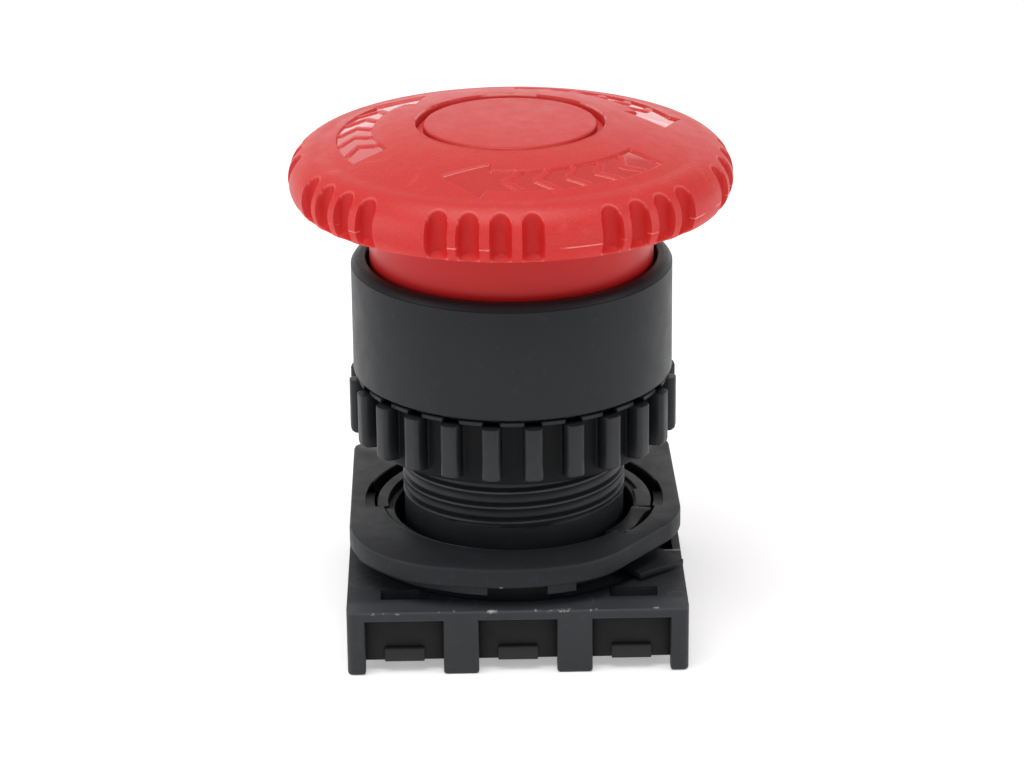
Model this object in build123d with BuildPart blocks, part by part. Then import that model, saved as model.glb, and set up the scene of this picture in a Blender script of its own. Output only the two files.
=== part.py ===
"""Panel-mount emergency stop button: mushroom-head operator, lock nut and three-bay contact carrier.

Millimetres, +Z up. The origin is on the button's axis, at the feet of the contact carrier.
The lock ring's lever points towards the front right; the front is -Y.
"""

import os
from math import cos, pi, radians, sin

from build123d import *

os.makedirs("parts", exist_ok=True)

# ---- driving dimensions ----------------------------------------------------------------------
GAP = 0.3                # clear space between pieces that move past each other
RUN = 0.05               # radial running clearance of a shaft in its hole
EDGE = 0.3               # ordinary chamfer

# mushroom head
HEAD_TOP = 48.0
HEAD_R = 20.58
HEAD_WIDEST_Z = 43.1
DOME_MID_R = 13.1
DOME_MID_Z = 47.25
SHOULDER_R = 17.5
SHOULDER_Z = 46.0
RIM_MID_R = 20.46
RIM_MID_Z = 42.1
RIM_BOTTOM_Z = 41.15
RIM_BOTTOM_R = 20.05
RIM_INNER_R = 18.6
CAP_CEILING_Z = 43.8
CAP_CEILING_R = 18.2
CAP_HUB_R = 6.5
CAP_HUB_BOTTOM_Z = 41.9
RECESS_R = 8.7
RECESS_FLOOR_Z = 45.4
INSERT_R = 8.0
INSERT_TOP_Z = 47.9
INSERT_STEP = 0.7        # how far the groove round the insert goes down
INSERT_HOLLOW_R = 4.2
INSERT_HOLLOW_H = 1.6
SCREW_HEAD_R = 2.8
SCREW_HEAD_H = 1.3
SCREW_R = 1.5
SCREW_LENGTH = 7.8
SCREW_SLOT = 3.8
SCREW_SLOT_W = 0.6
SCREW_SLOT_DEPTH = 0.7
FLUTE_R = 0.97
FLUTE_CENTRE_R = HEAD_R - 0.4
FLUTE_GROUPS = 8
FLUTES_IN_GROUP = 4
FLUTE_PITCH_DEG = 8.13
FLUTE_FIRST_DEG = -97.6
SKIRT_R = 13.25
SKIRT_WALL = 1.45
SKIRT_BOTTOM_Z = 32.5

# spindle that turns with the head, and the slider it turns in
SPINDLE_JOURNAL_R = 1.95
SPINDLE_JOURNAL_BOTTOM_Z = 24.3
SPINDLE_R = 3.4
SPINDLE_TOP_Z = 43.6
RESET_SPRING_R = 4.0
RESET_WIRE_R = 0.35
RESET_PITCH = 0.95
RESET_TURNS = 3
SLIDER_TOP_Z = 34.1
SLIDER_FLANGE_R = 6.8
SLIDER_FLANGE_Z = 26.6
SLIDER_FLANGE_T = 1.0
SLIDER_SQUARE = 5.0
CONE_BASE_R = 4.0        # radius of the latch cone at the height of the pins, button up
CONE_SLOPE = 0.25        # how far the pins move for each millimetre of push
FOOT_TOP_Z = 13.7
FOOT_DISC_Z = 12.2
SQUARE_BOTTOM_Z = 12.4   # the slider's square ends inside the pusher foot
FOOT_DISC_R = 8.0
FOOT_BOTTOM_Z = 6.85
FOOT_W = 1.6
FOOT_DEPTH = 3.8
FOOT_SIDE_X = 6.9
RETURN_SPRING_R = 5.2
RETURN_WIRE_R = 0.4
RETURN_PITCH = 2.1

# release cam and latch pins
CAM_Z = 36.3
CAM_T = 1.5
CAM_BASE_R = 4.1
CAM_LOBE_R = 5.12
CAM_LOBE_START_DEG = 30
CAM_LOBE_DEG = 50
PIN_Z = 30.0
PIN_R = 1.4
PIN_OUTER = 9.3
LATCH_SPRING_R = 0.95
LATCH_WIRE_R = 0.18
LATCH_PITCH = 0.52
BAND_T = 0.15
BAND_HALF_W = 1.9
BAND_START_DEG = 105
BAND_DEG = 330

# barrel
THREAD_R = 10.55
THREAD_PITCH = 1.5
THREAD_DEPTH = 0.5
THREAD_HALF_W = 0.4      # half the width of a thread groove at its mouth
THREAD_FLOOR_HALF_W = 0.12
THREAD_BOTTOM_Z = 11.8
BARREL_R = 10.45
BARREL_BOTTOM_Z = 6.75
BORE_R = 8.4
UPPER_BORE_R = 8.0
LEDGE_Z = 14.2
LEDGE_T = 1.0
TOWER_R = 11.3
TOWER_TOP_Z = 36.0
TOWER_BORE_R = 5.6
TOWER_FLOOR_Z = 27.65
FLANGE_Z = 25.3
FLANGE_T = 1.2
LUG_R = 11.2
LUG_T = 1.2
LUG_DEG = 24

# bezel sleeve and its seals
SLEEVE_R = 15.0
SLEEVE_BORE_R = 13.55
SLEEVE_BOTTOM_Z = 24.3
SLEEVE_TOP_Z = 35.26
SLEEVE_LIP_R = 11.2
SLEEVE_BEVEL_H = 0.66
SLEEVE_BEVEL_W = 0.9
SEAL_R = 12.5
SEAL_WIRE_R = 0.45
GASKET_R = 14.5
GASKET_T = 0.3

# washer and lock nut
WASHER_BOTTOM_Z = 23.5
WASHER_T = 0.45
WASHER_R = 13.9
TAB_R = 14.7
TAB_W = 2.3
NUT_BOTTOM_Z = 17.46
NUT_TOP_Z = 23.4
NUT_HUB_R = 13.9
RIBS = 24
RIB_R = 15.45
RIB_W = 1.84
RIB_DEPTH = 2.2          # radial size of a rib, its root sunk in the hub
RIB_ROUND = 0.45
RIB_START_DEG = 6.3
RIB_BOTTOM_Z = 18.26
RIB_TOP_Z = 23.46

# contact carrier
CARRIER_W = 31.5
CARRIER_FRONT_Y = -17.0
CARRIER_BACK_Y = 14.5
CARRIER_TOP_Z = 6.35
CARRIER_TOP_T = 1.05
CARRIER_CORNER_R = 0.6
WALL = 1.5
WALL_BOTTOM_Z = 1.12
BAY_PITCH = 10.47
WINDOW_W = 7.2
WINDOW_DEPTH = 1.0
BAR_T = 1.0
BAR_BOTTOM_Z = 1.12
BAR_FIT = 0.02           # side clearance of a latch bar in its window
TIE_W = 0.6
TIE_H = 0.7
SNAP_W = 3.7
SNAP_H = 1.3
SNAP_PROUD = 0.5
PARTITION_T = 0.8
PARTITION_BOTTOM_Z = 2.0
PUSH_SLOT_W = 2.4
PUSH_SLOT_DEPTH = 4.8
TOP_SLOT_X = (-10.4, 10.8)
TOP_SLOT_W = 4.5
TOP_SLOT_Y = (-14.15, -12.0)
POCKET_X = (12.6, 15.0)
POCKET_Y = (-3.6, -1.0)
POCKET_DEPTH = 0.8
CURB_R = 14.75
CURB_BORE_R = 14.0
CURB_ARCS_DEG = ((112, 170), (12, 56))     # start and sweep of each curb

# collar plate and lock ring
PLATE_Z = 8.55
PLATE_TOP_Z = 10.5
PLATE_BACK_Y = 14.5
PLATE_SIDE_X = 15.6
PLATE_CORNER_R = 1.0
PLATE_FRONT_BORE_R = 12.5
PLATE_SIDE_BORE_R = 14.2
PLATE_SIDE_ARCS_DEG = ((-11, 71), (120, 68))     # start and sweep of each crescent
PLATE_BACK_BORE_R = 13.45
PLATE_LUG_BORE_R = 13.55
PLATE_LUG_ARC_DEG = (-42, 40)
BORE_CORE_R = 5.0        # inner limit of the sectors cut from the plate, inside its bore
LIP_Z = 9.75
TONGUE_R = 13.1          # guide tongue along the left crescent, joined to the plate at its front end
TONGUE_BORE_R = 12.05
TONGUE_TOP_Z = 10.3
TONGUE_ARC_DEG = (141, 49)
FLANGE_INSET = 0.3
FLANGE_R = 16.75
FLANGE_NOTCH_W = 5.2
FLANGE_END_X = 5.5
SKIRT_EDGE_Z = 7.65
RING_R = 13.1
RING_BORE_R = 11.4
RING_Z = 6.45
RING_TOP_Z = 9.65
EAR_TOP_Z = 10.3
EAR_ARC_DEG = (-11, 129)
EAR_STEP = 0.65
STOP_LUG_ARC_DEG = (-42, 31)
STOP_LUG_R = 13.3
STOP_LUG_BORE_R = 11.3
STOP_LUG_Z = 8.2
LEDGE_BORE_R = 10.75
LEVER_Z = 6.65
LEVER_TOP_Z = 7.25
LEVER_TILT_DEG = -53.0
LEVER_ROOT = 12.2
LEVER_END = 15.85
LEVER_SIDE = 2.5
LEVER_W = 5.3
LEAF_T = 0.25
LEAF_ARC_DEG = (110, 50)

bay_centres = [-BAY_PITCH, 0, BAY_PITCH]


# ---- helpers ---------------------------------------------------------------------------------
def tube(outer, inner, z0, z1):
    """Add a plain ring between two heights to the open part."""
    with BuildSketch(Plane.XY.offset(z0)) as ring:
        Circle(outer)
        if inner:
            Circle(inner, mode=Mode.SUBTRACT)
    extrude(ring.sketch, amount=z1 - z0)


def cut_disc(radius, z0, z1):
    """Cut a round hole between two heights from the open part."""
    with BuildSketch(Plane.XY.offset(z0)) as disc:
        Circle(radius)
    extrude(disc.sketch, amount=z1 - z0, mode=Mode.SUBTRACT)


def sector(outer, inner, start_deg, sweep_deg, z0, z1, mode=Mode.ADD):
    """Add or cut a piece of a ring, from one angle counter-clockwise over a sweep."""
    a, m, e = (radians(start_deg + sweep_deg * f) for f in (0, 0.5, 1))
    points = [[(r * cos(t), r * sin(t)) for t in (a, m, e)] for r in (outer, inner)]
    with BuildSketch(Plane.XY.offset(z0)) as piece:
        with BuildLine():
            ThreePointArc(*points[0])
            Line(points[0][2], points[1][2])
            ThreePointArc(*points[1][::-1])
            Line(points[1][0], points[0][0])
        make_face()
    extrude(piece.sketch, amount=z1 - z0, mode=mode)


def block(x0, x1, y0, y1, z0, z1, mode=Mode.ADD):
    """Add or cut a box given by its limits."""
    with BuildSketch(Plane.XY.offset(z0)) as base:
        with Locations(((x0 + x1) / 2, (y0 + y1) / 2)):
            Rectangle(x1 - x0, y1 - y0)
    extrude(base.sketch, amount=z1 - z0, mode=mode)


def coil(radius, wire, pitch, height):
    """A plain coil spring standing on the origin, as a part of its own."""
    with BuildPart(mode=Mode.PRIVATE) as spring:
        with BuildLine() as path:
            Helix(pitch, height, radius)
        with BuildSketch(Plane(path.line @ 0, z_dir=path.line % 0)):
            Circle(wire)
        sweep()
    return spring.part


def save(part, name):
    """Label a finished piece and write it under its node's name."""
    part.label = name
    export_step(part, f"parts/{name}.step")


# ---- mushroom head ---------------------------------------------------------------------------
with BuildPart() as mushroom_cap:
    with BuildSketch(Plane.XZ):
        with BuildLine():
            shoulder_drop = SHOULDER_Z - HEAD_WIDEST_Z
            Line((0, RECESS_FLOOR_Z), (RECESS_R, RECESS_FLOOR_Z))
            Line((RECESS_R, RECESS_FLOOR_Z), (RECESS_R, HEAD_TOP))
            ThreePointArc((RECESS_R, HEAD_TOP), (DOME_MID_R, DOME_MID_Z), (SHOULDER_R, SHOULDER_Z))
            ThreePointArc(
                (SHOULDER_R, SHOULDER_Z),
                (
                    SHOULDER_R + (HEAD_R - SHOULDER_R) * sin(pi / 4),
                    HEAD_WIDEST_Z + shoulder_drop * cos(pi / 4),
                ),
                (HEAD_R, HEAD_WIDEST_Z),
            )
            ThreePointArc(
                (HEAD_R, HEAD_WIDEST_Z),
                (RIM_MID_R, RIM_MID_Z),
                (RIM_BOTTOM_R, RIM_BOTTOM_Z),
            )
            Polyline(
                (RIM_BOTTOM_R, RIM_BOTTOM_Z),
                (RIM_INNER_R, RIM_BOTTOM_Z),
                (CAP_CEILING_R, CAP_CEILING_Z),
                (CAP_HUB_R, CAP_CEILING_Z),
                (CAP_HUB_R, CAP_HUB_BOTTOM_Z),
                (0, CAP_HUB_BOTTOM_Z),
                (0, RECESS_FLOOR_Z),
            )
        make_face()
    revolve(axis=Axis.Z)
    with BuildSketch(Plane.XY.offset(CAP_HUB_BOTTOM_Z)):
        RegularPolygon(SPINDLE_R, 6)
    extrude(amount=SPINDLE_TOP_Z - CAP_HUB_BOTTOM_Z, mode=Mode.SUBTRACT)
    cut_disc(SCREW_R + 2 * RUN, CAP_HUB_BOTTOM_Z, RECESS_FLOOR_Z)
    for group in range(FLUTE_GROUPS):
        for flute in range(FLUTES_IN_GROUP):
            offset_deg = (flute - (FLUTES_IN_GROUP - 1) / 2) * FLUTE_PITCH_DEG
            angle = radians(FLUTE_FIRST_DEG + group * 360 / FLUTE_GROUPS + offset_deg)
            spot = (FLUTE_CENTRE_R * cos(angle), FLUTE_CENTRE_R * sin(angle))
            with BuildSketch(Plane.XY.offset(RIM_BOTTOM_Z - 1)):
                with Locations(spot):
                    Circle(FLUTE_R)
            extrude(amount=HEAD_TOP - RIM_BOTTOM_Z, mode=Mode.SUBTRACT)
save(mushroom_cap.part, "mushroom_cap")

with BuildPart() as cap_skirt:
    tube(SKIRT_R, SKIRT_R - SKIRT_WALL, SKIRT_BOTTOM_Z, CAP_CEILING_Z)
    chamfer(cap_skirt.edges().group_by(Axis.Z)[0], EDGE)
save(cap_skirt.part, "cap_skirt")

with BuildPart() as cap_insert:
    tube(RECESS_R - RUN, 0, RECESS_FLOOR_Z, INSERT_TOP_Z - INSERT_STEP)
    tube(INSERT_R, 0, INSERT_TOP_Z - INSERT_STEP, INSERT_TOP_Z)
    cut_disc(INSERT_HOLLOW_R, RECESS_FLOOR_Z, RECESS_FLOOR_Z + INSERT_HOLLOW_H)
    fillet(cap_insert.edges().group_by(Axis.Z)[-1], EDGE)
save(cap_insert.part, "cap_insert")

with BuildPart() as cap_screw:
    screw_top = RECESS_FLOOR_Z + SCREW_HEAD_H
    tube(SCREW_HEAD_R, 0, RECESS_FLOOR_Z, screw_top)
    tube(SCREW_R, 0, RECESS_FLOOR_Z - SCREW_LENGTH, RECESS_FLOOR_Z)
    for long_x, long_y in ((SCREW_SLOT, SCREW_SLOT_W), (SCREW_SLOT_W, SCREW_SLOT)):
        with BuildSketch(Plane.XY.offset(screw_top)):
            Rectangle(long_x, long_y)
        extrude(amount=-SCREW_SLOT_DEPTH, mode=Mode.SUBTRACT)
save(cap_screw.part, "cap_screw")

# ---- spindle, cam and slider -----------------------------------------------------------------
with BuildPart() as spindle:
    tube(SPINDLE_JOURNAL_R, 0, SPINDLE_JOURNAL_BOTTOM_Z, SLIDER_TOP_Z + RUN)
    tube(SPINDLE_R * cos(pi / 6) - RUN, 0, SLIDER_TOP_Z + RUN, CAP_HUB_BOTTOM_Z)
    with BuildSketch(Plane.XY.offset(CAP_HUB_BOTTOM_Z)):
        RegularPolygon(SPINDLE_R - RUN, 6)
    extrude(amount=SPINDLE_TOP_Z - CAP_HUB_BOTTOM_Z)
    cut_disc(SCREW_R + RUN, RECESS_FLOOR_Z - SCREW_LENGTH - GAP, SPINDLE_TOP_Z)
save(spindle.part, "spindle")

with BuildPart() as release_cam:
    tube(CAM_BASE_R, SPINDLE_R * cos(pi / 6), CAM_Z, CAM_Z + CAM_T)
    for side in (0, 180):
        lobe_start = side + CAM_LOBE_START_DEG
        sector(CAM_LOBE_R, CAM_BASE_R - EDGE, lobe_start, CAM_LOBE_DEG, CAM_Z, CAM_Z + CAM_T)
save(release_cam.part, "release_cam")

with BuildPart() as reset_spring:
    with Locations((0, 0, CAM_Z + CAM_T + 2 * GAP)):
        add(coil(RESET_SPRING_R, RESET_WIRE_R, RESET_PITCH, RESET_TURNS * RESET_PITCH))
save(reset_spring.part, "reset_spring")

with BuildPart() as slider:
    cone_low_z = PIN_Z - PIN_R - GAP
    cone_low_r = CONE_BASE_R + CONE_SLOPE * (cone_low_z - PIN_Z)
    cone_top_r = CONE_BASE_R + CONE_SLOPE * (SLIDER_TOP_Z - PIN_Z)
    with BuildSketch(Plane.XZ):
        with BuildLine():
            Polyline(
                (0, SLIDER_FLANGE_Z),
                (SLIDER_FLANGE_R, SLIDER_FLANGE_Z),
                (SLIDER_FLANGE_R, SLIDER_FLANGE_Z + SLIDER_FLANGE_T),
                (cone_low_r, SLIDER_FLANGE_Z + SLIDER_FLANGE_T),
                (cone_low_r, cone_low_z),
                (cone_top_r, SLIDER_TOP_Z),
                (0, SLIDER_TOP_Z),
                close=True,
            )
        make_face()
    revolve(axis=Axis.Z)
    half = SLIDER_SQUARE / 2
    block(-half, half, -half, half, SQUARE_BOTTOM_Z, SLIDER_FLANGE_Z)
    cut_disc(SPINDLE_JOURNAL_R + RUN, SPINDLE_JOURNAL_BOTTOM_Z - GAP, SLIDER_TOP_Z)
save(slider.part, "slider")

with BuildPart() as pusher_foot:
    tube(FOOT_DISC_R, 0, FOOT_DISC_Z, FOOT_TOP_Z)
    for x in (-FOOT_SIDE_X, 0, FOOT_SIDE_X):
        left, right = x - FOOT_W / 2, x + FOOT_W / 2
        block(left, right, -FOOT_DEPTH / 2, FOOT_DEPTH / 2, FOOT_BOTTOM_Z, FOOT_DISC_Z)
    block(-half, half, -half, half, SQUARE_BOTTOM_Z, FOOT_TOP_Z, Mode.SUBTRACT)
save(pusher_foot.part, "pusher_foot")

with BuildPart() as return_spring:
    seat = RETURN_WIRE_R + 0.02
    with Locations((0, 0, LEDGE_Z + LEDGE_T + seat)):
        spring_length = SLIDER_FLANGE_Z - LEDGE_Z - LEDGE_T - 2 * seat
        add(coil(RETURN_SPRING_R, RETURN_WIRE_R, RETURN_PITCH, spring_length))
save(return_spring.part, "return_spring")

# ---- latch pins, one on each side ------------------------------------------------------------
for side, sign in (("left", -1), ("right", 1)):
    with BuildPart() as latch_pin:
        reach = CONE_BASE_R + CONE_SLOPE * PIN_R + RUN
        with BuildSketch(Plane.YZ.offset(sign * reach)):
            with Locations((0, PIN_Z)):
                Circle(PIN_R)
        extrude(amount=sign * (PIN_OUTER - reach))
        chamfer(latch_pin.edges().sort_by(Axis.X)[0 if sign > 0 else -1], EDGE)
    save(latch_pin.part, f"latch_pin_{side}")

    with BuildPart() as latch_spring:
        seat = LATCH_WIRE_R + 0.02
        with Locations(Location((sign * (PIN_OUTER + seat), 0, PIN_Z), (0, sign * 90, 0))):
            add(coil(LATCH_SPRING_R, LATCH_WIRE_R, LATCH_PITCH, TOWER_R - PIN_OUTER - 2 * seat))
    save(latch_spring.part, f"latch_spring_{side}")

with BuildPart() as latch_band:
    band_z = (PIN_Z - BAND_HALF_W, PIN_Z + BAND_HALF_W)
    sector(TOWER_R + BAND_T, TOWER_R, BAND_START_DEG, BAND_DEG, *band_z)
save(latch_band.part, "latch_band")

# ---- barrel and bezel ------------------------------------------------------------------------
with BuildPart() as threaded_barrel:
    tube(BARREL_R, 0, BARREL_BOTTOM_Z, THREAD_BOTTOM_Z)
    tube(THREAD_R, 0, THREAD_BOTTOM_Z, FLANGE_Z)
    tube(SLEEVE_BORE_R, 0, FLANGE_Z, FLANGE_Z + FLANGE_T)
    tube(TOWER_R, 0, FLANGE_Z + FLANGE_T, TOWER_TOP_Z)
    for side in (90, 270):
        lug_z = (BARREL_BOTTOM_Z, BARREL_BOTTOM_Z + LUG_T)
        sector(LUG_R, BARREL_R - 0.5, side - LUG_DEG / 2, LUG_DEG, *lug_z)
    turns = int((SLEEVE_BOTTOM_Z - THREAD_BOTTOM_Z) / THREAD_PITCH)
    for turn in range(turns):
        z = THREAD_BOTTOM_Z + (turn + 0.5) * THREAD_PITCH
        with BuildSketch(Plane.XZ):
            with BuildLine():
                Polyline(
                    (THREAD_R + RUN, z - THREAD_HALF_W),
                    (THREAD_R - THREAD_DEPTH, z - THREAD_FLOOR_HALF_W),
                    (THREAD_R - THREAD_DEPTH, z + THREAD_FLOOR_HALF_W),
                    (THREAD_R + RUN, z + THREAD_HALF_W),
                    close=True,
                )
            make_face()
        revolve(axis=Axis.Z, mode=Mode.SUBTRACT)
    cut_disc(BORE_R, BARREL_BOTTOM_Z, LEDGE_Z)
    cut_disc(UPPER_BORE_R, LEDGE_Z + LEDGE_T, TOWER_FLOOR_Z)
    cut_disc(TOWER_BORE_R, TOWER_FLOOR_Z, TOWER_TOP_Z)
    guide = SLIDER_SQUARE / 2 + 0.15
    block(-guide, guide, -guide, guide, LEDGE_Z, LEDGE_Z + LEDGE_T, Mode.SUBTRACT)
    with BuildSketch(Plane.YZ.offset(-TOWER_R - 1)):
        with Locations((0, PIN_Z)):
            Circle(PIN_R + RUN)
    extrude(amount=2 * (TOWER_R + 1), mode=Mode.SUBTRACT)
    with BuildSketch(Plane.XZ):
        with Locations((SEAL_R, FLANGE_Z)):
            Circle(SEAL_WIRE_R)
    revolve(axis=Axis.Z, mode=Mode.SUBTRACT)
save(threaded_barrel.part, "threaded_barrel")

with BuildPart() as bezel_sleeve:
    with BuildSketch(Plane.XZ):
        with BuildLine():
            Polyline(
                (SLEEVE_LIP_R, SLEEVE_BOTTOM_Z),
                (SLEEVE_R, SLEEVE_BOTTOM_Z),
                (SLEEVE_R, SLEEVE_TOP_Z - SLEEVE_BEVEL_H),
                (SLEEVE_R - SLEEVE_BEVEL_W, SLEEVE_TOP_Z),
                (SLEEVE_BORE_R + EDGE, SLEEVE_TOP_Z),
                (SLEEVE_BORE_R, SLEEVE_TOP_Z - EDGE),
                (SLEEVE_BORE_R, FLANGE_Z),
                (SLEEVE_LIP_R, FLANGE_Z),
                close=True,
            )
        make_face()
    revolve(axis=Axis.Z)
    with BuildSketch(Plane.XZ):
        with Locations((SEAL_R, FLANGE_Z)):
            Circle(SEAL_WIRE_R)
    revolve(axis=Axis.Z, mode=Mode.SUBTRACT)
save(bezel_sleeve.part, "bezel_sleeve")

with BuildPart() as barrel_seal:
    with BuildSketch(Plane.XZ):
        with Locations((SEAL_R, FLANGE_Z)):
            Circle(SEAL_WIRE_R - 0.015)
    revolve(axis=Axis.Z)
save(barrel_seal.part, "barrel_seal")

with BuildPart() as panel_gasket:
    tube(GASKET_R, THREAD_R + 2 * RUN, SLEEVE_BOTTOM_Z - GASKET_T, SLEEVE_BOTTOM_Z)
save(panel_gasket.part, "panel_gasket")

# ---- lock washer and nut ---------------------------------------------------------------------
with BuildPart() as lock_washer:
    tube(WASHER_R, THREAD_R + 3 * RUN, WASHER_BOTTOM_Z, WASHER_BOTTOM_Z + WASHER_T)
    with BuildSketch(Plane.XY.offset(WASHER_BOTTOM_Z)):
        with PolarLocations(WASHER_R, RIBS, start_angle=RIB_START_DEG - 180 / RIBS):
            Rectangle(2 * (TAB_R - WASHER_R), TAB_W)
    extrude(amount=WASHER_T)
save(lock_washer.part, "lock_washer")

with BuildPart() as lock_nut:
    tube(NUT_HUB_R, THREAD_R + RUN, NUT_BOTTOM_Z, NUT_TOP_Z)
    with BuildSketch(Plane.XY.offset(RIB_BOTTOM_Z)):
        with PolarLocations(RIB_R - RIB_DEPTH / 2, RIBS, start_angle=RIB_START_DEG):
            RectangleRounded(RIB_DEPTH, RIB_W, RIB_ROUND)
    extrude(amount=RIB_TOP_Z - RIB_BOTTOM_Z)
save(lock_nut.part, "lock_nut")

# ---- contact carrier -------------------------------------------------------------------------
with BuildPart() as contact_carrier:
    half_w = CARRIER_W / 2
    block(-half_w, half_w, CARRIER_FRONT_Y, CARRIER_BACK_Y, 0, CARRIER_TOP_Z)
    fillet(contact_carrier.edges().filter_by(Axis.Z), CARRIER_CORNER_R)
    ceiling = CARRIER_TOP_Z - CARRIER_TOP_T
    inner = half_w - WALL
    block(-inner, inner, CARRIER_FRONT_Y + WALL, CARRIER_BACK_Y - WALL, 0, ceiling, Mode.SUBTRACT)
    block(-half_w, half_w, CARRIER_FRONT_Y + WALL, CARRIER_BACK_Y - WALL, 0, WALL_BOTTOM_Z, Mode.SUBTRACT)
    for x in bay_centres:
        left, right = x - WINDOW_W / 2, x + WINDOW_W / 2
        block(left, right, CARRIER_FRONT_Y, CARRIER_BACK_Y, 0, ceiling, Mode.SUBTRACT)
    for x in (-BAY_PITCH / 2, BAY_PITCH / 2):
        left, right = x - PARTITION_T / 2, x + PARTITION_T / 2
        block(left, right, CARRIER_FRONT_Y + 1, CARRIER_BACK_Y - 1, PARTITION_BOTTOM_Z, CARRIER_TOP_Z)
    for x in (-FOOT_SIDE_X, 0, FOOT_SIDE_X):
        left, right = x - PUSH_SLOT_W / 2, x + PUSH_SLOT_W / 2
        near, far = -PUSH_SLOT_DEPTH / 2, PUSH_SLOT_DEPTH / 2
        block(left, right, near, far, ceiling, CARRIER_TOP_Z, Mode.SUBTRACT)
    for x in TOP_SLOT_X:
        left, right = x - TOP_SLOT_W / 2, x + TOP_SLOT_W / 2
        block(left, right, *TOP_SLOT_Y, ceiling, CARRIER_TOP_Z, Mode.SUBTRACT)
    block(*POCKET_X, *POCKET_Y, CARRIER_TOP_Z - POCKET_DEPTH, CARRIER_TOP_Z, Mode.SUBTRACT)
    for start, sweep in CURB_ARCS_DEG:
        sector(CURB_R, CURB_BORE_R, start, sweep, CARRIER_TOP_Z, PLATE_Z)
save(contact_carrier.part, "contact_carrier")

for name, wall_y, out in (
    ("latch_bar_front", CARRIER_FRONT_Y + WINDOW_DEPTH, -1),
    ("latch_bar_back", CARRIER_BACK_Y - WINDOW_DEPTH, 1),
):
    with BuildPart() as latch_bar:
        for x in bay_centres:
            left, right = x - WINDOW_W / 2 + BAR_FIT, x + WINDOW_W / 2 - BAR_FIT
            near, far = sorted((wall_y, wall_y - out * BAR_T))
            block(left, right, near, far, BAR_BOTTOM_Z, CARRIER_TOP_Z - CARRIER_TOP_T)
            near, far = sorted((wall_y, wall_y + out * SNAP_PROUD))
            block(x - SNAP_W / 2, x + SNAP_W / 2, near, far, BAR_BOTTOM_Z, BAR_BOTTOM_Z + SNAP_H)
        near, far = sorted((wall_y - out * BAR_T, wall_y - out * (BAR_T + TIE_W)))
        tie = BAY_PITCH + WINDOW_W / 2
        tie_top = PARTITION_BOTTOM_Z - 0.1
        block(-tie, tie, near, far, tie_top - TIE_H, tie_top)
    save(latch_bar.part, name)

# ---- collar plate ----------------------------------------------------------------------------
def plate_outline():
    """D-shaped outline: square back, straight left side, round front, cut-away front right."""
    back_left = (-PLATE_SIDE_X, PLATE_BACK_Y)
    back_right = (PLATE_SIDE_X, PLATE_BACK_Y)
    left = (-PLATE_SIDE_X, -6.0)
    front_left = (-5.4, -16.5)
    front_right = (6.1, -15.8)
    cut_start = (10.5, -11.9)
    cut_end = (14.6, -6.6)
    right = (15.8, -2.0)
    Polyline(right, back_right, back_left, left)
    ThreePointArc(left, (-12.3, -13.2), front_left)
    ThreePointArc(front_left, (0.0, -17.05), front_right)
    ThreePointArc(front_right, (8.6, -14.1), cut_start)
    Line(cut_start, cut_end)
    ThreePointArc(cut_end, (15.5, -4.4), right)


with BuildPart() as collar_plate:
    with BuildSketch(Plane.XY.offset(PLATE_Z)) as outline:
        with BuildLine():
            plate_outline()
        make_face()
    extrude(amount=PLATE_TOP_Z - PLATE_Z)
    fillet(collar_plate.edges().filter_by(Axis.Z).group_by(Axis.Y)[-1], PLATE_CORNER_R)
    with BuildSketch(Plane.XY.offset(SKIRT_EDGE_Z)):
        with BuildLine():
            plate_outline()
        make_face()
        offset(amount=-FLANGE_INSET)
        Circle(FLANGE_R, mode=Mode.INTERSECT)
        Rectangle(2 * CARRIER_W, CARRIER_W, align=(Align.CENTER, Align.MIN), mode=Mode.SUBTRACT)
        Circle(CURB_R + RUN, mode=Mode.SUBTRACT)
        with Locations((0, CARRIER_FRONT_Y)):
            Rectangle(FLANGE_NOTCH_W, FLANGE_NOTCH_W, mode=Mode.SUBTRACT)
        with Locations((FLANGE_END_X, CARRIER_FRONT_Y)):
            Rectangle(CARRIER_W, CARRIER_W, align=(Align.MIN, Align.MIN), mode=Mode.SUBTRACT)
    extrude(amount=PLATE_Z - SKIRT_EDGE_Z)
    cut_disc(PLATE_FRONT_BORE_R, PLATE_Z, PLATE_TOP_Z)
    cut_disc(RING_R + GAP, PLATE_Z, LIP_Z)
    cuts = [(PLATE_BACK_BORE_R, (0, 180)), (PLATE_LUG_BORE_R, PLATE_LUG_ARC_DEG)]
    cuts += [(PLATE_SIDE_BORE_R, arc) for arc in PLATE_SIDE_ARCS_DEG]
    for radius, arc in cuts:
        sector(radius, BORE_CORE_R, *arc, PLATE_Z, PLATE_TOP_Z, Mode.SUBTRACT)
    sector(TONGUE_R, TONGUE_BORE_R, *TONGUE_ARC_DEG, LIP_Z, TONGUE_TOP_Z)
save(collar_plate.part, "collar_plate")

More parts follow.
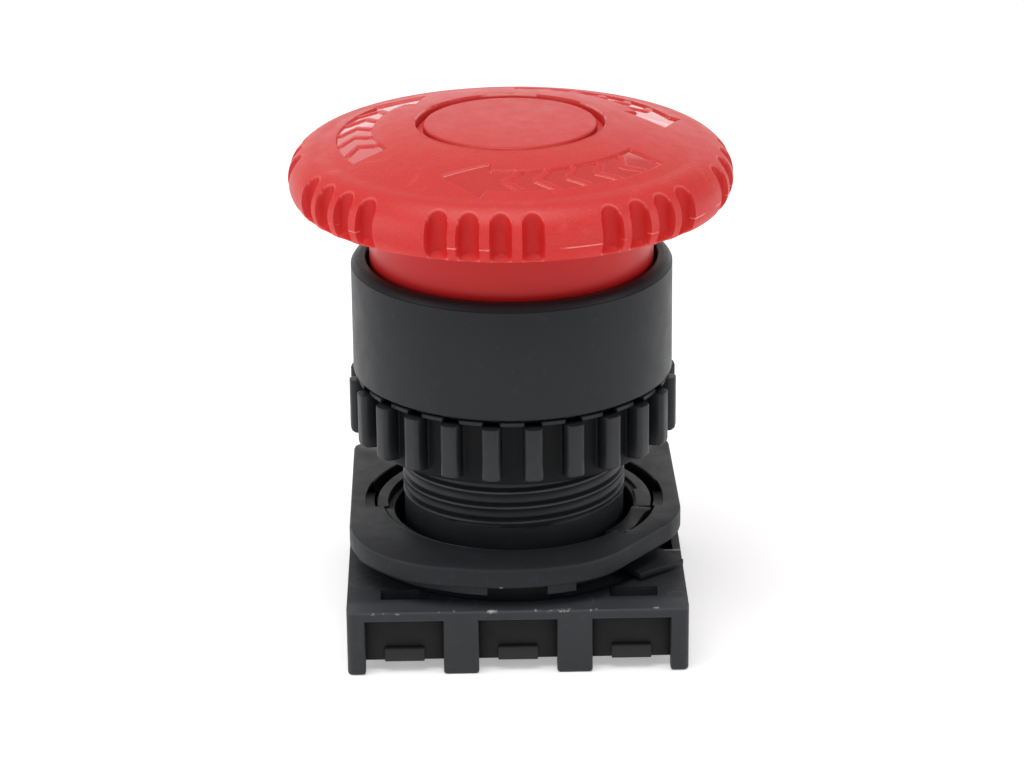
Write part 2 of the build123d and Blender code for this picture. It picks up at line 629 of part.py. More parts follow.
# ---- lock ring with its lever ----------------------------------------------------------------
with BuildPart() as lock_ring:
    tube(RING_R, RING_BORE_R, RING_Z, RING_TOP_Z)
    sector(RING_R, RING_BORE_R + EAR_STEP, *EAR_ARC_DEG, RING_TOP_Z, EAR_TOP_Z)
    sector(STOP_LUG_R, STOP_LUG_BORE_R, *STOP_LUG_ARC_DEG, STOP_LUG_Z, EAR_TOP_Z)
    with BuildSketch(Plane.XY.offset(LEVER_Z).rotated((0, 0, LEVER_TILT_DEG))):
        with Locations((LEVER_ROOT, LEVER_SIDE)):
            Rectangle(LEVER_END - LEVER_ROOT, LEVER_W, align=(Align.MIN, Align.MIN))
    extrude(amount=LEVER_TOP_Z - LEVER_Z)
    cut_disc(RING_BORE_R, LEVER_Z, LEVER_TOP_Z)
    for side in (90, 270):
        ledge_z = (BARREL_BOTTOM_Z + LUG_T + GAP / 2, RING_TOP_Z)
        ledge_arc = (side - LUG_DEG / 2 + 2, LUG_DEG - 4)
        sector(RING_BORE_R + EDGE, LEDGE_BORE_R, *ledge_arc, *ledge_z)
save(lock_ring.part, "lock_ring")

with BuildPart() as detent_leaf:
    sector(CURB_BORE_R, CURB_BORE_R - LEAF_T, *LEAF_ARC_DEG, CARRIER_TOP_Z, PLATE_Z - GAP)
save(detent_leaf.part, "detent_leaf")
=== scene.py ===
import math

import bmesh
import bpy
import numpy as np
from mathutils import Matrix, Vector


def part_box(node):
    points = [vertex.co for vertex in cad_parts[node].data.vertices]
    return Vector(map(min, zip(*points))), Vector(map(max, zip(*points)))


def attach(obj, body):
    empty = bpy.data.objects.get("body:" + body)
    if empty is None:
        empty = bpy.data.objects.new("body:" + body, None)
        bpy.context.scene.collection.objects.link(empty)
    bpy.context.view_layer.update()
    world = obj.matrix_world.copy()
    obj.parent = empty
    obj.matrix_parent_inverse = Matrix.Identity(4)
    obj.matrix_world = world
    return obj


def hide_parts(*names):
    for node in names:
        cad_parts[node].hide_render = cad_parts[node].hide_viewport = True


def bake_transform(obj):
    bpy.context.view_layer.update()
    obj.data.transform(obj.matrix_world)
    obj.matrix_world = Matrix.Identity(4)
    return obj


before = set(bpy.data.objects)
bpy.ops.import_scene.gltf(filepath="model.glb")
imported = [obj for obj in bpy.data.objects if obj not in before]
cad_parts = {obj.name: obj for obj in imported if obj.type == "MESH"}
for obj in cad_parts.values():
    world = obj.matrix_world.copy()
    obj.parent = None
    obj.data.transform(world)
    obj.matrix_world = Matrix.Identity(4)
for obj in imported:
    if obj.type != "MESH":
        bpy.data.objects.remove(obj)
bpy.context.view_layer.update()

# Emergency stop button. Lengths in this script are millimetres until they reach a mesh, then metres.
# +Z is up, the front is -Y, and angles are measured in degrees about +Z from +X.
MM = 0.001
FULL_TURN = 360
BLOCK_EDGE = 0.08       # how much the long edges of a ring's block are eased
CORNER_POINTS = 5       # in each rounded corner of a profile
LATHE_STEPS, HEAD_STEPS, BARREL_STEPS = 256, 1200, 240


# ---- sizes read from the frame ----
def low(node, axis):
    """Lowest coordinate of a CAD node along an axis, in millimetres."""
    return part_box(node)[0][axis] / MM


def high(node, axis):
    """Highest coordinate of a CAD node along an axis, in millimetres."""
    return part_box(node)[1][axis] / MM


HEAD_TOP = high("mushroom_cap", 2)
HEAD_R = high("mushroom_cap", 0)
SLEEVE_R = high("bezel_sleeve", 0)
SLEEVE_BOTTOM = low("bezel_sleeve", 2)
SLEEVE_TOP = high("bezel_sleeve", 2)
SKIRT_R = high("cap_skirt", 0)
SKIRT_BOTTOM = low("cap_skirt", 2)
NUT_BOTTOM = low("lock_nut", 2)
PLATE_TOP = high("collar_plate", 2)
CARRIER_FRONT = low("contact_carrier", 1)
FLANGE_Z = 25.3         # the barrel's flange stands on the floor of the sleeve here


# ---- profiles ----
def arc3(a, b, c, steps):
    """Points along the arc from a through b to c, both ends included."""
    (ax, ay), (bx, by), (cx, cy) = a, b, c
    sa, sb, sc = (x * x + y * y for x, y in (a, b, c))
    d = 2 * (ax * (by - cy) + bx * (cy - ay) + cx * (ay - by))
    ux = (sa * (by - cy) + sb * (cy - ay) + sc * (ay - by)) / d
    uy = (sa * (cx - bx) + sb * (ax - cx) + sc * (bx - ax)) / d
    radius = math.hypot(ax - ux, ay - uy)
    t0, t1, t2 = (math.atan2(y - uy, x - ux) for x, y in (a, b, c))
    sweep = (t2 - t0) % (2 * math.pi)
    if (t1 - t0) % (2 * math.pi) > sweep:
        sweep -= 2 * math.pi
    angles = t0 + sweep * np.linspace(0, 1, steps)
    return [(ux + radius * math.cos(t), uy + radius * math.sin(t)) for t in angles]


def rounded(points):
    """A closed outline of (r, z, corner radius), with each corner turned into a short arc."""
    out = []
    count = len(points)
    for i, (x, y, radius) in enumerate(points):
        if radius <= 0:
            out.append((x, y))
            continue
        here = np.array((x, y))
        before, after = (np.array(points[k % count][:2]) - here for k in (i - 1, i + 1))
        lengths = np.linalg.norm(before), np.linalg.norm(after)
        before, after = before / lengths[0], after / lengths[1]
        half = math.acos(np.clip(before @ after, -1, 1)) / 2
        reach = min(radius / math.tan(half), 0.49 * min(lengths))
        start, end = here + before * reach, here + after * reach
        for t in np.linspace(0, 1, CORNER_POINTS):
            out.append(tuple((1 - t) ** 2 * start + 2 * t * (1 - t) * here + t * t * end))
    return out


def soften_line(points, reach):
    """The same line with its creases eased over a given length, both ends kept."""
    points = np.array(points)
    lengths = np.concatenate([[0], np.cumsum(np.hypot(*np.diff(points, axis=0).T))])
    fine = np.linspace(0, lengths[-1], 600)
    line = np.stack([np.interp(fine, lengths, c) for c in points.T], -1)
    out = np.empty_like(points)
    for i, at in enumerate(lengths):
        width = max(min(reach, at, lengths[-1] - at), 1e-6)
        weight = np.clip(1 - np.abs(fine - at) / width, 0, 1) ** 2
        weight = weight if weight.sum() > 0 else (np.abs(fine - at) == np.abs(fine - at).min())
        out[i] = (line * (weight / weight.sum())[:, None]).sum(0)
    out[0], out[-1] = points[0], points[-1]
    return [tuple(p) for p in out]


# ---- mesh builders ----
def smooth(mesh, degrees):
    """Shade a mesh smooth, except across edges sharper than an angle."""
    mesh.polygons.foreach_set("use_smooth", [True] * len(mesh.polygons))
    mesh.set_sharp_from_angle(angle=math.radians(degrees))


def mesh_object(name, vertices, faces, smooth_deg=30):
    """A mesh object from vertices in millimetres, smooth except across edges sharper than smooth_deg."""
    mesh = bpy.data.meshes.new(name)
    mesh.from_pydata([tuple(v) for v in np.asarray(vertices, float) * MM], [], faces)
    work = bmesh.new()
    work.from_mesh(mesh)
    bmesh.ops.remove_doubles(work, verts=work.verts, dist=1e-7)
    bmesh.ops.recalc_face_normals(work, faces=work.faces)
    work.to_mesh(mesh)
    work.free()
    smooth(mesh, smooth_deg)
    obj = bpy.data.objects.new(name, mesh)
    bpy.context.scene.collection.objects.link(obj)
    return obj


def places(obj):
    """The x, y and z of an object's vertices in millimetres, an array each."""
    return np.array([v.co[:] for v in obj.data.vertices]).T / MM


def paint(obj, domain="POINT", **layers):
    """Give an object's points or edges one value each in every named layer."""
    for name, values in layers.items():
        layer = obj.data.attributes.new(name, "FLOAT", domain)
        layer.data.foreach_set("value", np.asarray(values, np.float32).reshape(-1))


def ring_loft(name, rows, angles_deg, smooth_deg=30, seam=None):
    """A closed ring about the axis from rows of (radius, height), each one number or one value per angle.

    The last row joins the first. After a full turn row i meets row seam[i], or itself without a seam.
    """
    angles = np.radians(np.asarray(angles_deg, float))
    n, m = len(angles), len(rows)
    r, z = (np.array([np.broadcast_to(row[k], n) for row in rows], float) for k in (0, 1))
    vertices = np.stack([r * np.cos(angles), r * np.sin(angles), z], -1).reshape(-1, 3)
    i, j = np.meshgrid(np.arange(m), np.arange(n), indexing="ij")
    up = (i + 1) % m
    met = np.arange(m) if seam is None else np.array(seam)
    across, across_up = (np.where(j + 1 < n, row, met[row]) * n + (j + 1) % n for row in (i, up))
    faces = np.stack([i * n + j, across, across_up, up * n + j], -1).reshape(-1, 4)
    return mesh_object(name, vertices, faces.tolist(), smooth_deg)


def even_angles(count):
    return np.arange(count) * FULL_TURN / count


def lathe(name, profile):
    """A ring turned from a closed profile of (r, z, corner radius)."""
    return ring_loft(name, rounded(profile), even_angles(LATHE_STEPS))


def tube(name, vertices, sides):
    """A closed tube from rows of vertices, one row of the given number of sides after another."""
    steps = len(vertices) // sides - 1
    faces = [
        (k * sides + s, k * sides + (s + 1) % sides, (k + 1) * sides + (s + 1) % sides, (k + 1) * sides + s)
        for k in range(steps)
        for s in range(sides)
    ]
    ends = [tuple(range(sides)), tuple(steps * sides + s for s in reversed(range(sides)))]
    return mesh_object(name, vertices, faces + ends)


def eased_section(inner, outer, z0, z1):
    """The rows of a flat ring whose outer edges are eased."""
    eased = outer - BLOCK_EDGE
    rows = [(inner, z0), (eased, z0), (outer, z0 + BLOCK_EDGE)]
    return rows + [(outer, z1 - BLOCK_EDGE), (eased, z1), (inner, z1)]


def arc_block(name, angles_deg, inner, outer, z0, z1):
    """A piece of a ring between two heights with eased long edges; inner and outer may vary by angle."""
    angles = np.radians(np.asarray(angles_deg, float))
    inner, outer = (np.broadcast_to(r, len(angles)) for r in (inner, outer))
    rows = eased_section(inner, outer, z0, z1)
    vertices = [(r[k] * math.cos(a), r[k] * math.sin(a), z) for k, a in enumerate(angles) for r, z in rows]
    return tube(name, vertices, len(rows))


def slab(name, outline, z0, z1, edge):
    """A flat piece with the given plan and rounded edges."""
    count = len(outline)
    vertices = [(x, y, z) for z in (z0, z1) for x, y in outline]
    faces = [tuple(range(count)), tuple(range(count, 2 * count))]
    faces += [(k, (k + 1) % count, count + (k + 1) % count, count + k) for k in range(count)]
    obj = mesh_object(name, vertices, faces)
    work = bmesh.new()
    work.from_mesh(obj.data)
    bmesh.ops.bevel(work, geom=work.edges[:], offset=edge * MM, segments=2, affect="EDGES", profile=0.5)
    work.to_mesh(obj.data)
    work.free()
    smooth(obj.data, 30)
    return obj


def join(name, parts):
    """Several mesh objects as one piece."""
    target = parts[0]
    work = bmesh.new()
    for part in parts:
        work.from_mesh(part.data)
    work.to_mesh(target.data)
    work.free()
    for part in parts[1:]:
        bpy.data.objects.remove(part)
    target.name = target.data.name = name
    return target


def put(piece, body, material, slot_name, *nodes):
    """Dress a piece, let it ride on its body and stand for its CAD nodes."""
    piece.data.materials.clear()
    piece.data.materials.append(material)
    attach(piece, body)
    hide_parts(*nodes)
    return piece


# ---- materials ----
class Nodes:
    """Short calls for building one material's node tree."""

    def __init__(self, name):
        self.material = bpy.data.materials.new(name)
        self.material.use_nodes = True
        self.tree = self.material.node_tree
        self.shader = self.tree.nodes["Principled BSDF"]
        self.place = self.add("ShaderNodeTexCoord").outputs["Object"]

    def add(self, kind, inputs=(), **settings):
        """A new node with its settings, and its named inputs linked or set."""
        node = self.tree.nodes.new(kind)
        for key, value in settings.items():
            setattr(node, key, value)
        for key, value in dict(inputs).items():
            self.link(value, node.inputs[key])
        return node

    def link(self, source, target):
        """Link a socket to another, or set it to a number or a colour."""
        if isinstance(source, bpy.types.NodeSocket):
            self.tree.links.new(source, target)
        else:
            target.default_value = (*source, 1) if isinstance(source, tuple) else source

    def noise(self, scale, detail, roughness=0.55):
        inputs = dict(Vector=self.place, Scale=scale, Detail=detail, Roughness=roughness)
        return self.add("ShaderNodeTexNoise", inputs).outputs["Fac"]

    def spots(self, scale, size, share):
        """Small dots, 1 inside a dot: size is a share of a cell, and share of the cells have one."""
        cells = self.add("ShaderNodeTexVoronoi", dict(Vector=self.place, Scale=scale))
        near = self.ramp(cells.outputs["Distance"], size * 0.6, size, 1, 0)
        pick = self.add("ShaderNodeSeparateColor", dict(Color=cells.outputs["Color"]))
        return self.math("MULTIPLY", near, self.ramp(pick.outputs["Red"], share, share + 0.01, 1, 0))

    def ramp(self, source, low_in, high_in, low_out, high_out):
        keys = ("Value", "From Min", "From Max", "To Min", "To Max")
        inputs = zip(keys, (source, low_in, high_in, low_out, high_out))
        return self.add("ShaderNodeMapRange", inputs).outputs["Result"]

    def math(self, operation, *values):
        node = self.add("ShaderNodeMath", operation=operation)
        for socket, value in zip(node.inputs, values):
            self.link(value, socket)
        return node.outputs["Value"]

    def mix(self, factor, a, b):
        """Colour a where factor is 0 and b where it is 1; each is a colour or a socket."""
        node = self.add("ShaderNodeMix", data_type="RGBA")
        self.link(factor, node.inputs["Factor"])
        for socket, value in zip((s for s in node.inputs if s.type == "RGBA"), (a, b)):
            self.link(value, socket)
        return next(s for s in node.outputs if s.type == "RGBA")

    def attribute(self, name):
        return self.add("ShaderNodeAttribute", attribute_name=name).outputs["Fac"]

    def at(self, name):
        """A coordinate in metres: x, y, z, or r for the distance from the object's axis."""
        if name == "r":
            return self.math("SQRT", self.math("ADD", *[self.math("POWER", self.at(k), 2) for k in "xy"]))
        return self.add("ShaderNodeSeparateXYZ", dict(Vector=self.place)).outputs[name.upper()]

    def along(self, name, start, end, before, after):
        """A ramp along a coordinate between two places in millimetres."""
        return self.ramp(self.at(name), start * MM, end * MM, before, after)

    def near(self, value, centre, reach):
        """1 where a value in metres is at a place given in millimetres, falling to 0 over its reach."""
        off = self.math("ABSOLUTE", self.math("SUBTRACT", value, centre * MM))
        return self.ramp(off, reach * 0.4 * MM, reach * MM, 1, 0)

    def patch(self, *masks, **spans):
        """1 where every mask is 1 and every named coordinate is near its (centre, reach) in millimetres."""
        masks = [self.near(self.at(name), *span) for name, span in spans.items()] + list(masks)
        product = masks[0]
        for mask in masks[1:]:
            product = self.math("MULTIPLY", product, mask)
        return product

    def bump(self, height, distance, strength):
        node = self.add("ShaderNodeBump", dict(Height=height, Distance=distance, Strength=strength))
        self.set(Normal=node.outputs["Normal"])

    def colour(self, source):
        self.set(Base_Color=source)

    def rough(self, source):
        self.set(Roughness=source)

    def sheen(self, source):
        self.set(Specular_IOR_Level=source)

    def set(self, **values):
        """Link or set inputs of the shader, named with _ for each space."""
        for key, value in values.items():
            self.link(value, self.shader.inputs[key.replace("_", " ")])


CARRIER_TOP = 6.35
CARRIER_MID_Y = -1.25
BAR_FACE = 14.75        # from the middle of the carrier to a latch bar's outer face
# Small places marked in the materials, with scuffs, painted highlights and painted shade among them: a
# (centre, reach) in millimetres for each coordinate that bounds one.
# The parting line, the insert's rim, the lip's edge and the pocket's edge bound painted highlights; the
# plate's edge, the lug's end and the carrier's front edge bound pale scuffs and flecks; the curb's place
# bounds painted shade.
PARTING_LINE = dict(z=(42.45, 0.09))
INSERT_RIM = dict(r=(8.78, 0.14), z=(47.95, 0.2))
PLATE_EDGE = dict(z=(8.6, 0.16), y=(-17, 0.9), x=(-0.5, 6))
LUG_END = dict(z=(10.35, 0.4), x=(9.9, 1), y=(-8.2, 0.45))
LIP_EDGE = dict(z=(10.45, 0.3), r=(12.58, 0.15), x=(-7.5, 6.5), y=(-9.5, 6))
ON_CARRIER = dict(z=(CARRIER_TOP, 0.3))
FRONT_EDGE = dict(y=(CARRIER_FRONT, 0.38))
POCKET_EDGE = dict(y=(-3.75, 0.26), x=(13.8, 3))
CURB_SHADE = dict(z=(7.5, 2.4), r=(14.75, 0.4))
# Each ejector mark is a circle on the carrier's top: x, y and radius.
EJECTOR_MARKS = ((-14.05, -10, 1.5), (-5.1, -15.2, 1.35), (5.4, -15.1, 1.6), (14.8, -14.1, 0.8))
# Pale tone of the scuffs on the black parts, used also for the painted highlight on the carrier's pocket
# edge.
SCUFF_AND_HIGHLIGHT = (0.42, 0.42, 0.41)


def red_head_material():
    """Satin red moulding: fine texture, pale rubbed places, painted highlights along the parting line, the
    insert's rim and the flute edges, painted shade in the flutes, and smoother floors in the arrows.
    """
    m = Nodes("red_satin_moulding")
    tone = m.mix(m.noise(90, 2), (0.6, 0.026, 0.022), (0.68, 0.037, 0.031))
    rubbed = m.ramp(m.noise(420, 4), 0.62, 0.74, 0, 0.25)
    tone = m.mix(rubbed, tone, (0.8, 0.13, 0.11))
    tone = m.mix(m.spots(260, 0.09, 0.05), tone, (0.9, 0.55, 0.52))
    speckle = m.ramp(m.noise(4600, 2), 0.4, 0.6, 0, 0.22)
    tone = m.mix(speckle, tone, (0.44, 0.012, 0.01))
    # Painted highlight: a broken pale line along the parting line and round the insert's rim, where these
    # edges catch the light.
    broken = m.ramp(m.noise(330, 2), 0.5, 0.6, 0, 0.75)
    parting_highlight = m.patch(m.along("r", 19.8, 20, 0, 1), broken, **PARTING_LINE)
    worn = m.math("MAXIMUM", parting_highlight, m.patch(broken, **INSERT_RIM))
    tone = m.mix(worn, tone, (0.86, 0.3, 0.27))
    # Painted shade darkens the inside of each flute, and a painted highlight lightens each flute's edge.
    flute = m.attribute("flute")
    tone = m.mix(flute, tone, (0.6, 0.021, 0.019))
    m.colour(m.mix(m.math("MULTIPLY", m.attribute("flute_edge"), 0.45), tone, (0.86, 0.2, 0.17)))
    floor = m.attribute("recess")
    dull = m.math("MAXIMUM", flute, m.along("z", 42.3, 43.6, 1, 0))
    m.sheen(m.math("MULTIPLY_ADD", floor, 0.7, m.math("MULTIPLY_ADD", dull, -0.25, 0.45)))
    satin = m.ramp(m.noise(700, 3), 0.3, 0.7, 0.4, 0.5)
    m.rough(m.math("ADD", satin, m.math("MULTIPLY", floor, -0.34)))
    grain = m.math("MULTIPLY", m.noise(3600, 3, 0.6), m.math("SUBTRACT", 1, floor))
    m.bump(grain, 0.00006, 0.55)
    return m.material


def red_skirt_material():
    """Smooth, slightly darker red moulding."""
    m = Nodes("red_smooth_moulding")
    m.set(Specular_IOR_Level=0.22)
    m.colour(m.mix(m.noise(60, 2), (0.49, 0.016, 0.015), (0.57, 0.021, 0.02)))
    m.rough(m.ramp(m.noise(300, 3), 0.3, 0.7, 0.28, 0.38))
    m.bump(m.noise(2600, 2), 0.00002, 0.25)
    return m.material


def black_nodes(
    name,
    tone_low=(0.015, 0.0162, 0.0188),
    tone_high=(0.02, 0.0215, 0.0245),
    rough=(0.38, 0.48),
    grain=3600,
    dust=0.02,
    sheen=0.3,
):
    """Glass-filled black moulding: cloudy sheen, fine grain and a little dust. Gives its nodes and tone."""
    m = Nodes(name)
    m.set(Specular_IOR_Level=sheen)
    tone = m.mix(m.noise(110, 3), tone_low, tone_high)
    flecks = m.ramp(m.noise(900, 4, 0.7), 0.6, 0.8, 0, 0.35)
    tone = m.mix(flecks, tone, tuple(2.2 * c for c in tone_high))
    tone = m.mix(m.spots(330, 0.075, dust), tone, (0.42, 0.42, 0.4))
    m.colour(tone)
    m.rough(m.ramp(m.noise(500, 4), 0.3, 0.7, *rough))
    m.bump(m.noise(grain, 4, 0.65), 0.00003, 0.45)
    return m, tone


def nut_material():
    """The nut's black, with painted shade that darkens and dulls the hub between its ribs."""
    m, tone = black_nodes("black_nut")
    # Painted shade: darker and with less sheen inward of the rib tips, where the hub lies in shade.
    deep = m.along("r", 14, 14.9, 1, 0)
    m.colour(m.mix(deep, tone, (0.0055, 0.006, 0.007)))
    m.sheen(m.math("MULTIPLY_ADD", deep, -0.2, 0.3))
    return m.material


def barrel_material():
    """The barrel's black, with a thin painted highlight along the thread's edge and painted shade in the
    hollow under it.
    """
    m, tone = black_nodes("black_barrel")
    # Painted highlight along the thread's edge, and painted shade that darkens and dulls the hollow under
    # it.
    worn = m.math("MULTIPLY", m.attribute("worn"), m.ramp(m.noise(260, 3), 0.35, 0.65, 0.55, 1))
    hollow = m.attribute("hollow")
    tone = m.mix(m.math("MULTIPLY", hollow, 0.75), tone, (0.004, 0.0044, 0.005))
    m.sheen(m.math("MULTIPLY_ADD", hollow, -0.18, 0.3))
    m.colour(m.mix(worn, tone, (0.068, 0.071, 0.076)))
    return m.material


def plate_material():
    """The collar's black, with painted shade in the ends of its slots, pale scuff flecks on its edges and a
    painted highlight along its bore edge.
    """
    sheen = 0.27
    m, tone = black_nodes("black_plate", rough=(0.44, 0.56), dust=0.04, sheen=sheen)
    # Painted shade: the deep ends of the slots are darkened and lose their sheen.
    deep = m.attribute("deep")
    tone = m.mix(deep, tone, (0.0012, 0.0012, 0.0014))
    wall = m.along("z", 10.1, 10.35, -0.11, 0)
    dulled = m.math("MULTIPLY_ADD", deep, -0.26, m.math("ADD", wall, sheen))
    m.sheen(m.math("MAXIMUM", dulled, 0))
    # An index near 1 takes away the reflection that a dark slot would still show at a low angle.
    m.set(IOR=m.math("MULTIPLY_ADD", deep, -0.495, 1.5))
    flakes = m.ramp(m.noise(520, 4, 0.7), 0.58, 0.63, 0, 1)
    specks = m.ramp(m.noise(700, 3), 0.46, 0.52, 0, 1)
    pale = m.math("MAXIMUM", m.patch(flakes, **PLATE_EDGE), m.patch(specks, **LUG_END))
    tone = m.mix(pale, tone, SCUFF_AND_HIGHLIGHT)
    # Painted highlight along the bore edge beside the lip.
    m.colour(m.mix(m.math("MULTIPLY", m.patch(**LIP_EDGE), 0.7), tone, (0.13, 0.13, 0.14)))
    return m.material


def carrier_material():
    """The carrier's black, with ejector marks on its top, pale scuffs along its front edge, painted light
    on the front strip of its top, painted shade on the curb and a painted highlight on the pocket's edge.
    """
    sheen = 0.27
    low_tone, high_tone = (0.023, 0.0245, 0.028), (0.03, 0.032, 0.036)
    m, tone = black_nodes("black_carrier", low_tone, high_tone, (0.44, 0.56), dust=0.05, sheen=sheen)
    rings = None
    for place_x, place_y, size in EJECTOR_MARKS:
        off = (m.math("SUBTRACT", m.at(k), c * MM) for k, c in (("x", place_x), ("y", place_y)))
        distance = m.math("SQRT", m.math("ADD", *[m.math("POWER", d, 2) for d in off]))
        circle = m.near(distance, size, 0.16)
        rings = circle if rings is None else m.math("MAXIMUM", rings, circle)
    faint = m.ramp(m.noise(500, 2), 0.4, 0.6, 0.25, 1)
    tone = m.mix(m.patch(rings, faint, **ON_CARRIER), tone, (0.06, 0.062, 0.066))
    # Painted light: the front strip of the top, under the plate's overhang, is lightened as if lit from the
    # front.
    ledge = m.patch(m.along("y", -15.2, -14.2, 0.55, 0), **ON_CARRIER)
    tone = m.mix(ledge, tone, (0.062, 0.065, 0.074))
    # Painted shade: the curb under the plate is darkened and dulled.
    curb_shade = m.patch(**CURB_SHADE)
    tone = m.mix(curb_shade, tone, (0.009, 0.0095, 0.0105))
    m.sheen(m.math("MULTIPLY_ADD", curb_shade, -0.15, sheen))
    flakes = m.ramp(m.noise(420, 4, 0.7), 0.56, 0.62, 0, 1)
    front_edge = m.patch(flakes, **ON_CARRIER, **FRONT_EDGE)
    # Painted highlight along the front edge of the pocket.
    pocket_highlight = m.patch(m.along("y", -3.6, -3.5, 1, 0), **ON_CARRIER, **POCKET_EDGE)
    m.colour(m.mix(m.math("MAXIMUM", front_edge, pocket_highlight), tone, SCUFF_AND_HIGHLIGHT))
    return m.material


def bar_material():
    """The latch bars' black, painted dark as shade on the panels deep in the windows, with the snap tabs in
    front of them left paler as they stand in the light.
    """
    # Painted shade: the panels' tone is darker than the other black parts because they sit in shade in the
    # windows.
    low_tone, high_tone = (0.0035, 0.0038, 0.0044), (0.005, 0.0053, 0.006)
    m, tone = black_nodes("black_bar", low_tone, high_tone, (0.5, 0.6), sheen=0.25)
    # The snap tabs in front stand in the light and keep a paler tone.
    outward = m.math("ABSOLUTE", m.math("SUBTRACT", m.at("y"), CARRIER_MID_Y * MM))
    tab = m.ramp(outward, (BAR_FACE + 0.05) * MM, (BAR_FACE + 0.2) * MM, 0, 1)
    m.colour(m.mix(tab, tone, (0.019, 0.019, 0.0195)))
    return m.material


def simple_material(name, tone_low, tone_high, rough_low, rough_high, metallic=0, scale=400):
    """One plain stuff with a cloudy tone, a varied sheen and a fine grain."""
    m = Nodes(name)
    m.set(Metallic=metallic)
    m.colour(m.mix(m.noise(scale * 0.3, 2), tone_low, tone_high))
    m.rough(m.ramp(m.noise(scale, 3), 0.3, 0.7, rough_low, rough_high))
    m.bump(m.noise(scale * 8, 3), 0.00002, 0.4)
    return m.material


RED_HEAD = red_head_material()
RED_SKIRT = red_skirt_material()
BLACK_SLEEVE = black_nodes("black_bezel", rough=(0.38, 0.46), grain=4200, sheen=0.18)[0].material
BLACK_NUT = nut_material()
BLACK_BARREL = barrel_material()
BLACK_CARRIER = carrier_material()
BLACK_PLATE = plate_material()
BLACK_INNER = black_nodes("black_inner", rough=(0.36, 0.46), dust=0)[0].material
BLACK_BAR = bar_material()
RUBBER = simple_material("black_rubber", (0.018, 0.018, 0.018), (0.028, 0.028, 0.028), 0.6, 0.75)
ACETAL = simple_material("white_acetal", (0.7, 0.69, 0.64), (0.78, 0.77, 0.73), 0.32, 0.42)
STEEL = simple_material("spring_wire", (0.52, 0.52, 0.53), (0.64, 0.64, 0.65), 0.22, 0.34, 1, 900)

# ---- head ----
HOLE_R = 8.7
RECESS_FLOOR = 45.4
CEILING = 43.8          # underside of the head's shell, where the skirt ends
BOSS_R, BOSS_FOOT = 6.5, 41.9
SCREW_HOLE_R = 1.6
SHELL_BORE_R = 18.2
WIDEST_Z = 43.1
SHOULDER = (17.5, 46)
RIM_MID = (20.46, 42.1)
RIM_FOOT = (19.9, 41.12)
FLUTE_R = 0.97
FLUTE_CENTRE_R = HEAD_R - 0.4
FLUTE_GROUP_DEG = 45
FLUTE_PITCH_DEG = 8.13
FLUTE_FIRST_DEG = -97.6
FLUTE_FILL = 0.85       # how nearly a flute has run out at the foot of the rim
ARROW_COUNT = 3
ARROW_TIP = (14.35, -117.5)
ARROW_BASE_DEG = -99.8
ARROW_BARBS = (11.3, 17.2)
ARROW_SHAFT = (12.62, 16.1)
ARROW_END_DEG = -32.3
ARROW_DEPTH = 0.22
CHEVRONS = 5
CHEVRON_HALF = 1.35     # from the shaft's middle line to a chevron's end
CHEVRON_SWEEP_DEG = 5.2
CHEVRON_HEIGHT = 0.6    # share of the arrow's depth


def polar(r, degrees):
    return r * math.cos(math.radians(degrees)), r * math.sin(math.radians(degrees))


def arrow_outline():
    """Closed outline of the front arrow in plan: a head pointing clockwise and a curved shaft."""
    shaft = np.linspace(ARROW_BASE_DEG + 1, ARROW_END_DEG, 40)
    points = [polar(*ARROW_TIP), polar(ARROW_BARBS[0], ARROW_BASE_DEG)]
    points += [polar(ARROW_SHAFT[0], a) for a in shaft]
    points += [polar(ARROW_SHAFT[1], a) for a in shaft[::-1]]
    points.append(polar(ARROW_BARBS[1], ARROW_BASE_DEG))
    return np.array(points)


def segment_distance(x, y, a, b):
    """Distance from each point to the segment from a to b."""
    ab = np.subtract(b, a)
    t = np.clip(((x - a[0]) * ab[0] + (y - a[1]) * ab[1]) / (ab @ ab), 0, 1)
    return np.hypot(x - a[0] - t * ab[0], y - a[1] - t * ab[1])


def outline_depth(x, y, outline):
    """Signed distance to a closed outline, positive inside."""
    distance = np.full(x.shape, 1e9)
    inside = np.zeros(x.shape, bool)
    for a, b in zip(outline, np.roll(outline, -1, axis=0)):
        distance = np.minimum(distance, segment_distance(x, y, a, b))
        crosses = (a[1] > y) != (b[1] > y)
        with np.errstate(divide="ignore", invalid="ignore"):
            at = (b[0] - a[0]) * (y - a[1]) / (b[1] - a[1]) + a[0]
        inside ^= crosses & (x < at)
    return np.where(inside, distance, -distance)


def smooth_step(value, start, end):
    t = np.clip((value - start) / (end - start), 0, 1)
    return t * t * (3 - 2 * t)


def recess_share(x, y):
    """1 on the floor of an arrow, 0 on the open dome and on the raised chevrons in the arrow."""
    share = np.zeros(x.shape)
    outline = arrow_outline()
    start, stop = ARROW_BASE_DEG + 6, ARROW_END_DEG - 4
    step = (stop - start) / CHEVRONS
    middle = sum(ARROW_SHAFT) / 2
    for k in range(ARROW_COUNT):
        turn = math.radians(k * FULL_TURN / ARROW_COUNT)
        u = x * math.cos(turn) + y * math.sin(turn)
        v = -x * math.sin(turn) + y * math.cos(turn)
        floor = smooth_step(outline_depth(u, v, outline), 0, 0.18)
        bars = np.full(x.shape, 1e9)
        for c in range(CHEVRONS):
            apex = start + c * step + 1
            for r in (middle - CHEVRON_HALF, middle + CHEVRON_HALF):
                end = polar(r, apex + CHEVRON_SWEEP_DEG)
                bars = np.minimum(bars, segment_distance(u, v, polar(middle, apex), end))
        floor *= 1 - CHEVRON_HEIGHT * (1 - smooth_step(bars, 0.2, 0.44))
        share = np.maximum(share, floor)
    return share


